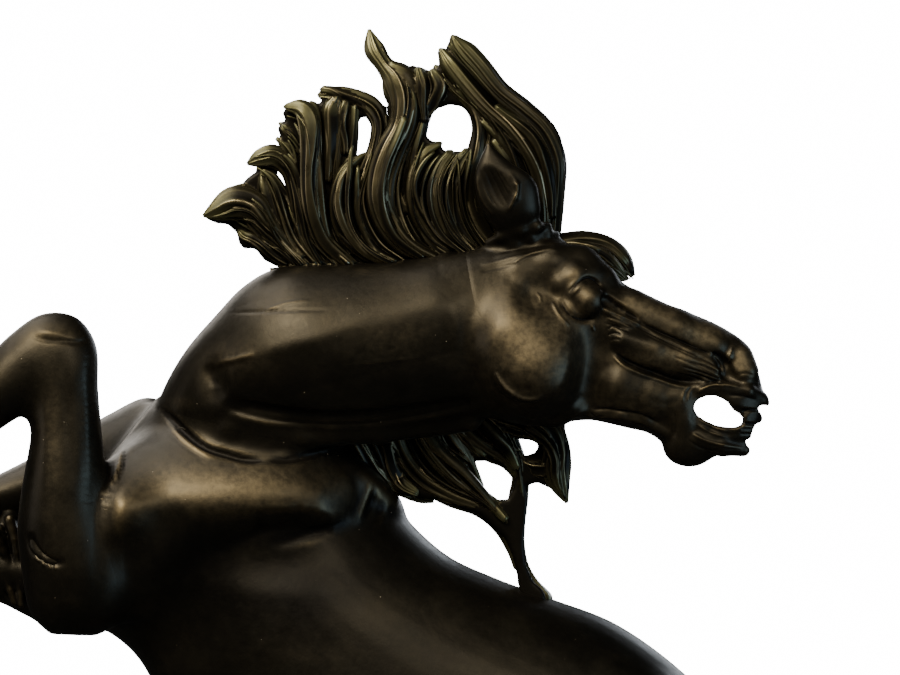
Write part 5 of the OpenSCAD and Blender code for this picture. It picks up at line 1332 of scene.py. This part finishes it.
def build_manes():
    rng = np.random.RandomState(5)
    more = [c for L in CREST_REAR[1:] for c in surface_strands(L, rng, 3, 2.0)]
    web = slab((-118, -40, 340), (-28, -4, 490), 0.8, CREST_OUT, [HOLE_A, HOLE_B, HOLE_C], -61, 1.3, lambda vol: polygon_field(vol, SPLIT, -61) - 0.8)
    hair_piece("crest_mane_rear_sculpt", CREST_REAR, [HOLE_A, HOLE_B, HOLE_C], CREST_OUT, "bronze_mane", 11, web=web, more=more, extra=EXTRA_REAR)
    more = [c for L in CREST_FRONT[1:] for c in surface_strands(L, rng, 4, 2.1)]
    web = slab((-60, -42, 340), (32, -4, 508), 0.8, CREST_OUT, [HOLE_A, HOLE_B, HOLE_C], -62, 1.3, lambda vol: -polygon_field(vol, SPLIT, -61) - 0.8)
    hair_piece("crest_mane_front_sculpt", CREST_FRONT, [HOLE_A, HOLE_B, HOLE_C], CREST_OUT, "bronze_mane", 12, web=web, more=more, extra=EXTRA_FRONT)
    more = [c for L in LOWER for c in surface_strands(L, rng, 3, 1.9)]
    web = slab((-52, -20, 284), (32, 8, 370), 0.8, LOWER_OUT, [HOLE_D, HOLE_E], -20, 1.2)
    hair_piece("lower_mane_sculpt", LOWER, [HOLE_D, HOLE_E], LOWER_OUT, "bronze_mane", 13, base_first=False, web=web, strands=2, offs=(-5, 5), more=more, extra=EXTRA_LOWER, root_v=418, mid_y=-22)
    more = [c for L in FORELOCK for c in surface_strands(L, rng, 5, 1.9)]
    web = slab((10, -32, 400), (56, -8, 434), 0.6, FORE_OUT, [], -54, 1.5, inset=0.5, radius=1.5)
    hair_piece("forelock_sculpt", FORELOCK, [], FORE_OUT, "bronze_mane", 14, base_first=False, web=web, strands=3, offs=(-6, 5), sw=2.2, sh=3.0, more=more, root_v=240)
    # tail: a core and a sheaf of long locks winding round it
    rngt = np.random.RandomState(21)
    core = np.array(TAIL, float)
    core[:, 3:5] *= 0.80
    parts = [tube(core, rngt, ridges=12, per=6, depth=0.9, step=6.0, twist=1.6, root=14)]
    T, s, length = resample(TAIL, 14)
    for k in range(13):
        a = 2 * np.pi * k / 13 + rngt.uniform(-0.15, 0.15)
        c = T.copy()
        ang = a + 1.5 * s + 0.35 * np.sin(6.28 * s * rngt.uniform(0.8, 1.6) + rngt.rand() * 6)
        sw_ = 1 + 0.10 * np.sin(6.28 * s * rngt.uniform(1, 2) + rngt.rand() * 6)
        c[:, 0] += c[:, 3] * 0.74 * np.cos(ang) * sw_
        c[:, 2] += c[:, 4] * 0.74 * np.sin(ang) * sw_
        w = np.interp(s, [0, 0.12, 0.6, 0.9, 1], [0.26, 0.32, 0.30, 0.24, 0.20])
        c[:, 3] = T[:, 3] * w * rngt.uniform(0.85, 1.2)
        c[:, 4] = T[:, 4] * w * rngt.uniform(0.85, 1.2)
        parts.append(tube(c, rngt, ridges=6, per=5, depth=1.0, step=5.0, twist=2.0, root=10))
    joined("tail_sculpt", parts, "tail", "bronze_mane")


# ------------------------------------------------------------------ ground, marble
def ground_radius(a, f=1.0):
    c, s = np.cos(a), np.sin(a)
    p = 2.6
    r = 1 / (np.abs(c) ** p / 109.0 ** p + np.abs(s) ** p / 56.0 ** p) ** (1 / p)
    d = np.degrees(a)
    return r * (0.98 + 0.012 * np.sin(np.radians(3 * d + 40)) + 0.009 * np.sin(np.radians(5 * d + 200))) * f


def fbm(x, y, rng_seed=3, base=0.03, n=5):
    """Sum of turned waves, a smooth rolling surface."""
    rng = np.random.RandomState(rng_seed)
    out = np.zeros_like(x)
    amp, f = 1.0, base
    for o in range(n):
        for k in range(5):
            a = rng.rand() * 6.28
            out += amp * 0.3 * np.sin((x * math.cos(a) + y * math.sin(a)) * f * 6.28 * rng.uniform(0.8, 1.25) + rng.rand() * 6.28)
        amp *= 0.55
        f *= 1.9
    return out


STUDS = [((577 - 500) * S, -62 * S), ((577 + 60 - 500) * S, 62 * S), ((766 - 500) * S, 0.0)]


def build_ground():
    na, nr = ((420, 104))
    a = np.linspace(0, 2 * np.pi, na, endpoint=False)
    z0, top = 31.0, 46.8
    rings = []
    prof = [(1.0, 0.0), (1.003, 1.2), (1.0, 3.2), (0.997, 5.2), (0.988, 7.4), (0.974, 9.4), (0.955, 11.2), (0.932, 12.8), (0.905, 14.0), (0.88, 14.8), (0.855, 15.3)]
    for f, z in prof:
        rings.append((f, z))
    for f in np.linspace(0.835, 0.02, nr - len(prof)):
        rings.append((f, 15.8))
    P = []
    for f, z in rings:
        r = ground_radius(a, f)
        x, y = r * np.cos(a), r * np.sin(a)
        k = np.clip(z / 6.0, 0, 1)
        rough = fbm(x, y, 3, 0.012, 5)
        rough2 = fbm(x + 2.1 * z, y - 1.7 * z, 9, 0.05, 3)
        zz = z0 + z + k * (0.75 * rough - 0.55) * (0.5 + 0.5 * (f < 0.93)) + 0.22 * rough2 * k
        rr = 1 + (0.010 * rough2 + 0.006 * rough) * np.clip(z / 3, 0, 1) * (f > 0.8)
        if f > 0.85:
            # worked clay edge: tool facets
            rr = rr + 0.006 * np.abs(np.sin(a * 17 + 1.2 * np.sin(a * 5))) * np.clip(z / 3, 0, 1)
        for (sx, sy) in STUDS:
            d = np.hypot(x - sx, y - sy)
            flat = np.clip((26 - d) / 12, 0, 1)
            flat = flat * flat * (3 - 2 * flat)
            if f < 0.9:
                zz = zz * (1 - flat) + (top + 0.15) * flat
        zz = np.minimum(zz, top + 0.9)
        P.append(np.stack([x * rr, y * rr, zz], 1))
    P = np.array(P)[::1]
    R = np.concatenate([P[:1] * np.array([0.98, 0.98, 1.0]), P], 0)
    R[0, :, 2] = z0
    R[1, :, 2] = z0
    p, q, t = skin_mesh(R[::-1])
    N = vertex_normals(p, q, t)
    if (N[:, 2] * (p[:, 2] > 45)).sum() < 0:
        q = q[:, ::-1]
        t = t[:, ::-1]
    finish_piece("ground_sculpt", p, q, t, "ground_plinth", "bronze_ground")


def build_marble():
    n = 200
    L, r0, th = 250.0, 70.0, 30.0
    straight = (L - 2 * r0) / 2
    a = np.linspace(-np.pi / 2, np.pi / 2, n)
    k = np.linspace(-1, 1, 40)[1:-1]
    right = np.stack([np.full(n, straight), np.zeros(n), np.cos(a), np.sin(a)], 1)
    topside = np.stack([-k * straight, np.zeros(len(k)), np.zeros(len(k)), np.ones(len(k))], 1)
    left = np.stack([np.full(n, -straight), np.zeros(n), -np.cos(a), -np.sin(a)], 1)
    bot = np.stack([k * straight, np.zeros(len(k)), np.zeros(len(k)), -np.ones(len(k))], 1)
    path = np.concatenate([right, topside, left, bot])
    prof = [(r0 - 30, 0), (r0 - 2.2, 0), (r0 - 1.0, 0.12), (r0 - 0.4, 0.45), (r0 - 0.05, 1.2), (r0, 2.2), (r0, 7), (r0, 11.6), (r0 - 0.25, 12.7), (r0 - 0.9, 13.6), (r0 - 2.0, 14.2), (r0 - 2.45, 14.6),
            (r0 - 2.5, 15.4), (r0 - 2.5, 16.2), (r0 - 2.75, 17.4), (r0 - 3.3, 18.9), (r0 - 4.2, 20.6), (r0 - 5.5, 22.3), (r0 - 7.0, 23.7), (r0 - 8.1, 24.5), (r0 - 8.38, 25.0), (r0 - 8.4, 26.6),
            (r0 - 8.4, 28.6), (r0 - 8.6, 29.3), (r0 - 9.0, 29.8), (r0 - 9.6, 30.0), (r0 - 24, 30.0)]
    rings = []
    for r, z in prof:
        rings.append(np.stack([path[:, 0] + r * path[:, 2], path[:, 1] + r * path[:, 3], np.full(len(path), 1.0 + z)], 1))
    p, q, t = skin_mesh(np.array(rings))
    N = vertex_normals(p, q, t)
    i = np.argmax(p[:, 0])
    if N[i, 0] < 0:
        q = q[:, ::-1]
        t = t[:, ::-1]
    finish_piece("marble_sculpt", p, q, t, "marble_base", "marble")


build_manes()
build_ground()
build_marble()


# ------------------------------------------------------------------ materials
class Nodes:
    def __init__(self, name):
        self.m = bpy.data.materials.new(name)
        self.m.use_nodes = True
        self.t = self.m.node_tree
        self.b = self.t.nodes["Principled BSDF"]
        self.co = self.t.nodes.new("ShaderNodeTexCoord").outputs["Object"]

    def n(self, kind, **k):
        x = self.t.nodes.new(kind)
        for a, b in k.items():
            setattr(x, a, b)
        return x

    def link(self, a, b):
        self.t.links.new(a, b)

    def noise(self, scale, detail=4, rough=0.55, distort=0.0, co=None):
        x = self.n("ShaderNodeTexNoise")
        x.inputs["Scale"].default_value = scale
        x.inputs["Detail"].default_value = detail
        x.inputs["Roughness"].default_value = rough
        x.inputs["Distortion"].default_value = distort
        self.link(co or self.co, x.inputs["Vector"])
        return x.outputs["Fac"]

    def ramp(self, x, *stops, mode="LINEAR"):
        """stops: (position, value or colour)"""
        r = self.n("ShaderNodeValToRGB")
        r.color_ramp.interpolation = mode
        e = r.color_ramp.elements
        while len(e) < len(stops):
            e.new(0.5)
        for k, (p, c) in enumerate(stops):
            e[k].position = p
            e[k].color = (c, c, c, 1) if not isinstance(c, (tuple, list)) else (c[0], c[1], c[2], 1)
        self.link(x, r.inputs[0])
        return r.outputs["Color"]

    def map(self, x, a, b, c=0.0, d=1.0):
        r = self.n("ShaderNodeMapRange")
        r.inputs["From Min"].default_value = a
        r.inputs["From Max"].default_value = b
        r.inputs["To Min"].default_value = c
        r.inputs["To Max"].default_value = d
        self.link(x, r.inputs["Value"])
        return r.outputs["Result"]

    def math(self, op, a, b=None, clamp=False):
        r = self.n("ShaderNodeMath", operation=op, use_clamp=clamp)
        for i, x in enumerate((a, b)):
            if x is None:
                continue
            if isinstance(x, (int, float)):
                r.inputs[i].default_value = x
            else:
                self.link(x, r.inputs[i])
        return r.outputs[0]

    def mix(self, f, a, b):
        r = self.n("ShaderNodeMix", data_type="RGBA")
        for key, x in (("Factor", f), ("A", a), ("B", b)):
            sock = [s for s in r.inputs if s.name == key and (s.type == ("RGBA" if key != "Factor" else "VALUE"))][0]
            if isinstance(x, (tuple, list)):
                sock.default_value = (x[0], x[1], x[2], 1)
            elif isinstance(x, (int, float)):
                sock.default_value = x
            else:
                self.link(x, sock)
        return [o for o in r.outputs if o.type == "RGBA"][0]

    def attr(self, name):
        a = self.n("ShaderNodeAttribute")
        a.attribute_name = name
        return a.outputs["Fac"]

    def open_sky(self, dist, lo=0.25, hi=0.85):
        """0 deep in a crevice, 1 in the open."""
        a = self.n("ShaderNodeAmbientOcclusion")
        a.samples = 5
        a.only_local = True
        a.inputs["Distance"].default_value = dist
        return self.map(a.outputs["AO"], lo, hi)

    def bump(self, x, strength, dist, prev=None):
        r = self.n("ShaderNodeBump")
        r.inputs["Strength"].default_value = strength
        r.inputs["Distance"].default_value = dist
        self.link(x, r.inputs["Height"])
        if prev is not None:
            self.link(prev, r.inputs["Normal"])
        return r.outputs["Normal"]

    def set(self, **k):
        names = {"color": "Base Color", "rough": "Roughness", "metal": "Metallic", "normal": "Normal", "coat": "Coat Weight", "coat_rough": "Coat Roughness", "spec": "Specular IOR Level", "sheen": "Sheen Weight"}
        for a, x in k.items():
            sock = self.b.inputs[names[a]]
            if isinstance(x, (tuple, list)):
                sock.default_value = (x[0], x[1], x[2], 1)
            elif isinstance(x, (int, float)):
                sock.default_value = x
            else:
                self.link(x, sock)
        return self.m


def specks(k, scale, size, keep):
    """Sparse dust grains: a few of the cells of a fine cell pattern."""
    v = k.n("ShaderNodeTexVoronoi")
    v.inputs["Scale"].default_value = scale
    k.link(k.co, v.inputs["Vector"])
    near = k.map(v.outputs["Distance"], size, size * 0.5, 0, 1)
    sep = k.n("ShaderNodeSeparateColor")
    k.link(v.outputs["Color"], sep.inputs[0])
    some = k.math("GREATER_THAN", sep.outputs[0], keep)
    return k.math("MULTIPLY", near, some)


def bronze_body():
    k = Nodes("patina_bronze")
    big = k.noise(16, 5, 0.6, 0.4)
    mid = k.noise(70, 6, 0.62, 0.3)
    fine = k.noise(420, 4, 0.6)
    grit = k.noise(1500, 2, 0.5)
    base = k.mix(k.map(big, 0.35, 0.7), (0.020, 0.0180, 0.0138), (0.037, 0.0325, 0.0235))
    base = k.mix(k.map(mid, 0.5, 0.78, 0, 0.5), base, (0.052, 0.044, 0.029))
    ridge = k.attr("ridge")
    rub = k.map(ridge, 0.012, 0.07)
    rub = k.math("MULTIPLY", rub, k.map(mid, 0.36, 0.62, 0.15, 1.0), clamp=True)
    base = k.mix(rub, base, (0.14, 0.112, 0.066))
    # gold where the patina is rubbed thin and where highlight is painted on the lit planes, broken up by noise
    painted = k.attr("rub")
    rub_and_highlight_spots = k.math("MULTIPLY", painted, k.map(fine, 0.36, 0.64, 0.4, 1.0), clamp=True)
    rub_and_highlight_spots = k.math("MULTIPLY", rub_and_highlight_spots, k.map(mid, 0.34, 0.62, 0.8, 1.0), clamp=True)
    base = k.mix(rub_and_highlight_spots, base, (0.21, 0.170, 0.104))
    # painted shade: near black in hollows of the surface and wherever ambient occlusion finds a crevice
    sky = k.open_sky(0.005)
    low = k.math("MAXIMUM", k.map(ridge, -0.008, -0.05), k.math("SUBTRACT", 1.0, sky))
    base = k.mix(low, base, (0.008, 0.0065, 0.0045))
    # painted shade: near black on the barrel under the neck and head and along the lower neck
    soot = k.math("MULTIPLY", k.attr("soot"), k.map(mid, 0.3, 0.7, 1.0, 0.72), clamp=True)
    base = k.mix(soot, base, (0.0075, 0.0070, 0.0066))
    dust = specks(k, 260, 0.06, 0.84)
    base = k.mix(dust, base, (0.30, 0.26, 0.20))
    metal = k.math("ADD", k.math("MULTIPLY", rub, 0.1), 0.9, clamp=True)
    metal = k.math("SUBTRACT", metal, k.math("MULTIPLY", dust, 0.5), clamp=True)
    rough = k.math("ADD", k.map(mid, 0.3, 0.75, 0.34, 0.47), k.math("MULTIPLY", low, 0.18))
    rough = k.math("ADD", rough, k.map(fine, 0.35, 0.7, -0.02, 0.05))
    rough = k.math("ADD", rough, k.math("MULTIPLY", painted, 0.13))
    nrm = k.bump(mid, 0.10, 0.0010)
    nrm = k.bump(fine, 0.22, 0.00030, nrm)
    nrm = k.bump(grit, 0.12, 0.00010, nrm)
    return k.set(color=base, metal=metal, rough=rough, normal=nrm, coat=0.10, coat_rough=0.32, spec=0.5)


def bronze_mane():
    k = Nodes("rubbed_bronze_hair")
    big = k.noise(22, 5, 0.6, 0.4)
    mid = k.noise(95, 6, 0.6, 0.3)
    fine = k.noise(520, 4, 0.6)
    base = k.mix(k.map(big, 0.35, 0.68), (0.040, 0.036, 0.021), (0.092, 0.080, 0.044))
    ridge = k.attr("ridge")
    sky = k.open_sky(0.0035, 0.2, 0.8)
    low = k.math("MAXIMUM", k.map(ridge, -0.05, -0.5), k.math("SUBTRACT", 1.0, sky))
    # raised parts of the locks lighter and ridge tops gold: partly wear, partly painted highlight
    ridge_wear_and_highlight = k.map(ridge, 0.22, 0.85)
    base = k.mix(k.math("MULTIPLY", k.map(ridge, -0.35, 0.45), k.map(mid, 0.35, 0.65, 0.25, 0.8), clamp=True), base, (0.125, 0.108, 0.062))
    base = k.mix(k.math("MULTIPLY", ridge_wear_and_highlight, k.map(mid, 0.3, 0.6, 0.35, 1.0), clamp=True), base, (0.50, 0.43, 0.28))
    # painted shade: near black in the flutes, on the web behind the locks and in crevices found by ambient occlusion
    base = k.mix(low, base, (0.008, 0.0070, 0.0046))
    tip = k.map(k.attr("along"), 0.72, 1.0, 0, 0.75)
    base = k.mix(k.math("MULTIPLY", tip, sky), base, (0.165, 0.165, 0.082))
    metal = k.math("ADD", k.math("MULTIPLY", ridge_wear_and_highlight, 0.1), 0.85, clamp=True)
    rough = k.math("ADD", k.map(mid, 0.3, 0.75, 0.24, 0.40), k.math("MULTIPLY", low, 0.2))
    nrm = k.bump(fine, 0.22, 0.0003)
    return k.set(color=base, metal=metal, rough=rough, normal=nrm, coat=0.12, coat_rough=0.22, spec=0.5)


def bronze_ground():
    k = Nodes("bronze_earth")
    mid = k.noise(60, 7, 0.65, 0.5)
    fine = k.noise(300, 6, 0.7)
    base = k.mix(k.map(mid, 0.35, 0.7), (0.008, 0.0065, 0.005), (0.026, 0.018, 0.010))
    ridge = k.attr("ridge")
    rub = k.math("MULTIPLY", k.map(ridge, 0.004, 0.05), k.map(fine, 0.35, 0.6, 0.2, 1.0), clamp=True)
    base = k.mix(rub, base, (0.17, 0.11, 0.05))
    base = k.mix(k.map(ridge, -0.01, -0.06), base, (0.004, 0.003, 0.0025))
    nrm = k.bump(mid, 0.35, 0.0016)
    nrm = k.bump(fine, 0.35, 0.0005, nrm)
    return k.set(color=base, metal=0.6, rough=k.map(fine, 0.3, 0.7, 0.33, 0.52), normal=nrm, coat=0.1, coat_rough=0.3, spec=0.6)


def black_marble():
    k = Nodes("black_marble")
    warp = k.noise(9, 8, 0.62, 1.4)
    v1 = k.n("ShaderNodeTexWave", wave_type="BANDS", bands_direction="DIAGONAL")
    v1.inputs["Scale"].default_value = 3.2
    v1.inputs["Distortion"].default_value = 22.0
    v1.inputs["Detail"].default_value = 6.0
    v1.inputs["Detail Scale"].default_value = 1.6
    v1.inputs["Detail Roughness"].default_value = 0.68
    k.link(k.co, v1.inputs["Vector"])
    vein = k.ramp(v1.outputs["Fac"], (0.0, 1.0), (0.022, 0.35), (0.06, 0.0), (1.0, 0.0))
    v2 = k.n("ShaderNodeTexWave", wave_type="BANDS", bands_direction="X")
    v2.inputs["Scale"].default_value = 7.5
    v2.inputs["Distortion"].default_value = 30.0
    v2.inputs["Detail"].default_value = 8.0
    v2.inputs["Detail Scale"].default_value = 2.2
    v2.inputs["Detail Roughness"].default_value = 0.72
    k.link(k.co, v2.inputs["Vector"])
    thin = k.ramp(v2.outputs["Fac"], (0.0, 0.55), (0.012, 0.12), (0.03, 0.0), (1.0, 0.0))
    cloud = k.noise(14, 9, 0.62, 0.8)
    base = k.mix(k.map(cloud, 0.38, 0.72), (0.006, 0.006, 0.0065), (0.026, 0.024, 0.023))
    base = k.mix(k.math("MULTIPLY", vein, k.map(warp, 0.42, 0.62, 0.0, 1.0), clamp=True), base, (0.42, 0.37, 0.30))
    base = k.mix(k.math("MULTIPLY", thin, k.map(cloud, 0.4, 0.6, 0.0, 0.9), clamp=True), base, (0.22, 0.20, 0.18))
    fine = k.noise(600, 3, 0.6)
    return k.set(color=base, metal=0.0, rough=k.map(k.noise(45, 5, 0.6), 0.3, 0.7, 0.12, 0.20), spec=0.5, coat=0.5, coat_rough=0.06, normal=k.bump(fine, 0.04, 0.00005))


def felt_mat():
    k = Nodes("felt_green")
    n1 = k.noise(700, 6, 0.75, 0.6)
    n2 = k.noise(2600, 3, 0.7)
    base = k.mix(n1, (0.006, 0.020, 0.011), (0.020, 0.050, 0.030))
    nrm = k.bump(n1, 0.8, 0.0005)
    nrm = k.bump(n2, 0.6, 0.0002, nrm)
    return k.set(color=base, rough=0.95, sheen=0.4, normal=nrm)


def steel_mat():
    k = Nodes("zinc_steel")
    n1 = k.noise(240, 5, 0.6)
    n2 = k.noise(40, 4, 0.6)
    base = k.mix(n2, (0.42, 0.43, 0.45), (0.60, 0.61, 0.62))
    return k.set(color=base, metal=1.0, rough=k.map(n1, 0.3, 0.7, 0.24, 0.42), normal=k.bump(n1, 0.12, 0.00008))


def pin_mat():
    k = Nodes("bronze_bar")
    n1 = k.noise(300, 5, 0.6)
    base = k.mix(n1, (0.20, 0.12, 0.05), (0.32, 0.20, 0.09))
    return k.set(color=base, metal=1.0, rough=k.map(n1, 0.3, 0.7, 0.25, 0.4), normal=k.bump(n1, 0.1, 0.0001))


def dress():
    M = {"bronze_body": bronze_body(), "bronze_mane": bronze_mane(), "bronze_ground": bronze_ground(), "marble": black_marble(), "felt": felt_mat(), "steel_hardware": steel_mat(), "bronze_pins": pin_mat()}
    for name, ob in PIECES.items():
        ob.data.materials.clear()
        ob.data.materials.append(M[SLOTS[name]])
    cad = {"leg_dowels": "bronze_pins", "head_pins": "bronze_pins", "ground_studs": "steel_hardware", "stud_washers": "steel_hardware", "stud_nuts": "steel_hardware", "base_bolts": "steel_hardware",
           "bolt_washers": "steel_hardware", "felt_pad": "felt"}
    for o in list(bpy.data.objects):
        if o.type != "MESH" or o.name in PIECES:
            continue
        for node, s_ in cad.items():
            if o.name == node or o.name.startswith(node):
                for i in range(len(o.material_slots)):
                    o.material_slots[i].link = "OBJECT"
                    o.material_slots[i].material = M[s_]
                print("dressed", o.name, len(o.material_slots))


dress()


# ------------------------------------------------------------------ camera, light, floor
def build_stage():
    sc = bpy.context.scene
    cam = bpy.data.cameras.new("camera")
    cam.sensor_width = 36
    cam.lens = 36 * CAMD / (900 * S)
    cam.clip_start, cam.clip_end = 0.05, 60
    co = bpy.data.objects.new("camera", cam)
    co.location = (CAMX / 1000, -CAMD / 1000, CAMZ / 1000)
    co.rotation_euler = (math.pi / 2, 0, 0)
    sc.collection.objects.link(co)
    sc.camera = co
    me = bpy.data.meshes.new("floor")
    bm = bmesh.new()
    bmesh.ops.create_circle(bm, cap_ends=True, segments=96, radius=2.4)
    bm.to_mesh(me)
    bm.free()
    fl = bpy.data.objects.new("floor", me)
    sc.collection.objects.link(fl)
    m = bpy.data.materials.new("floor_pale")
    m.use_nodes = True
    b = m.node_tree.nodes["Principled BSDF"]
    b.inputs["Base Color"].default_value = (0.82, 0.82, 0.81, 1)
    b.inputs["Roughness"].default_value = 0.6
    me.materials.append(m)
    fl.visible_glossy = False
    w = bpy.data.worlds.new("studio")
    sc.world = w
    w.use_nodes = True
    nt = w.node_tree
    nt.nodes.clear()
    out = nt.nodes.new("ShaderNodeOutputWorld")
    mix = nt.nodes.new("ShaderNodeMixShader")
    lp = nt.nodes.new("ShaderNodeLightPath")
    b1 = nt.nodes.new("ShaderNodeBackground")
    b2 = nt.nodes.new("ShaderNodeBackground")
    b1.inputs[0].default_value = (0.022, 0.022, 0.020, 1)
    b1.inputs[1].default_value = 1.0
    b2.inputs[0].default_value = (1, 1, 1, 1)
    b2.inputs[1].default_value = 16.0
    nt.links.new(lp.outputs["Is Camera Ray"], mix.inputs[0])
    nt.links.new(b1.outputs[0], mix.inputs[1])
    nt.links.new(b2.outputs[0], mix.inputs[2])
    nt.links.new(mix.outputs[0], out.inputs[0])

    def area(name, loc, target, size, power, color, shape="RECTANGLE", size_y=None):
        l = bpy.data.lights.new(name, "AREA")
        l.shape = shape
        l.size = size
        if size_y:
            l.size_y = size_y
        l.energy = power
        l.color = color
        o = bpy.data.objects.new(name, l)
        o.location = loc
        from mathutils import Vector
        d = Vector(target) - Vector(loc)
        o.rotation_euler = d.to_track_quat("-Z", "Y").to_euler()
        sc.collection.objects.link(o)
        o.visible_camera = False
        return o
    area("ceiling_left", (-0.8, 0.0, 1.65), (-0.02, 0, 0.38), 1.4, 18, (1.0, 0.94, 0.86), "RECTANGLE", 0.9)
    area("lamp_high", (-0.75, -1.25, 1.5), (-0.03, 0, 0.36), 0.95, 33, (1.0, 0.87, 0.64), "RECTANGLE", 0.75)
    area("lamp_front", (0.55, -1.8, 1.3), (0.06, 0, 0.37), 0.7, 6.5, (1.0, 0.88, 0.66), "RECTANGLE", 0.5)
    area("window_right", (1.5, -0.9, 0.15), (0.05, 0, 0.35), 0.9, 8, (0.50, 0.76, 1.0), "RECTANGLE", 1.1)
    area("fill_left", (-1.7, -0.25, 0.6), (-0.05, 0, 0.36), 1.0, 3, (1.0, 0.91, 0.80), "RECTANGLE", 0.8)
    area("back_soft", (-0.8, 1.7, 1.3), (0.0, 0, 0.3), 1.1, 9, (1.0, 0.94, 0.86), "RECTANGLE", 0.9)
    area("rim_back", (0.9, 1.6, 0.9), (0.0, 0, 0.3), 0.9, 7, (0.85, 0.92, 1.0), "RECTANGLE", 0.8)


build_stage()

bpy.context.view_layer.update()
print("total %.1f s" % (time.time() - T0))
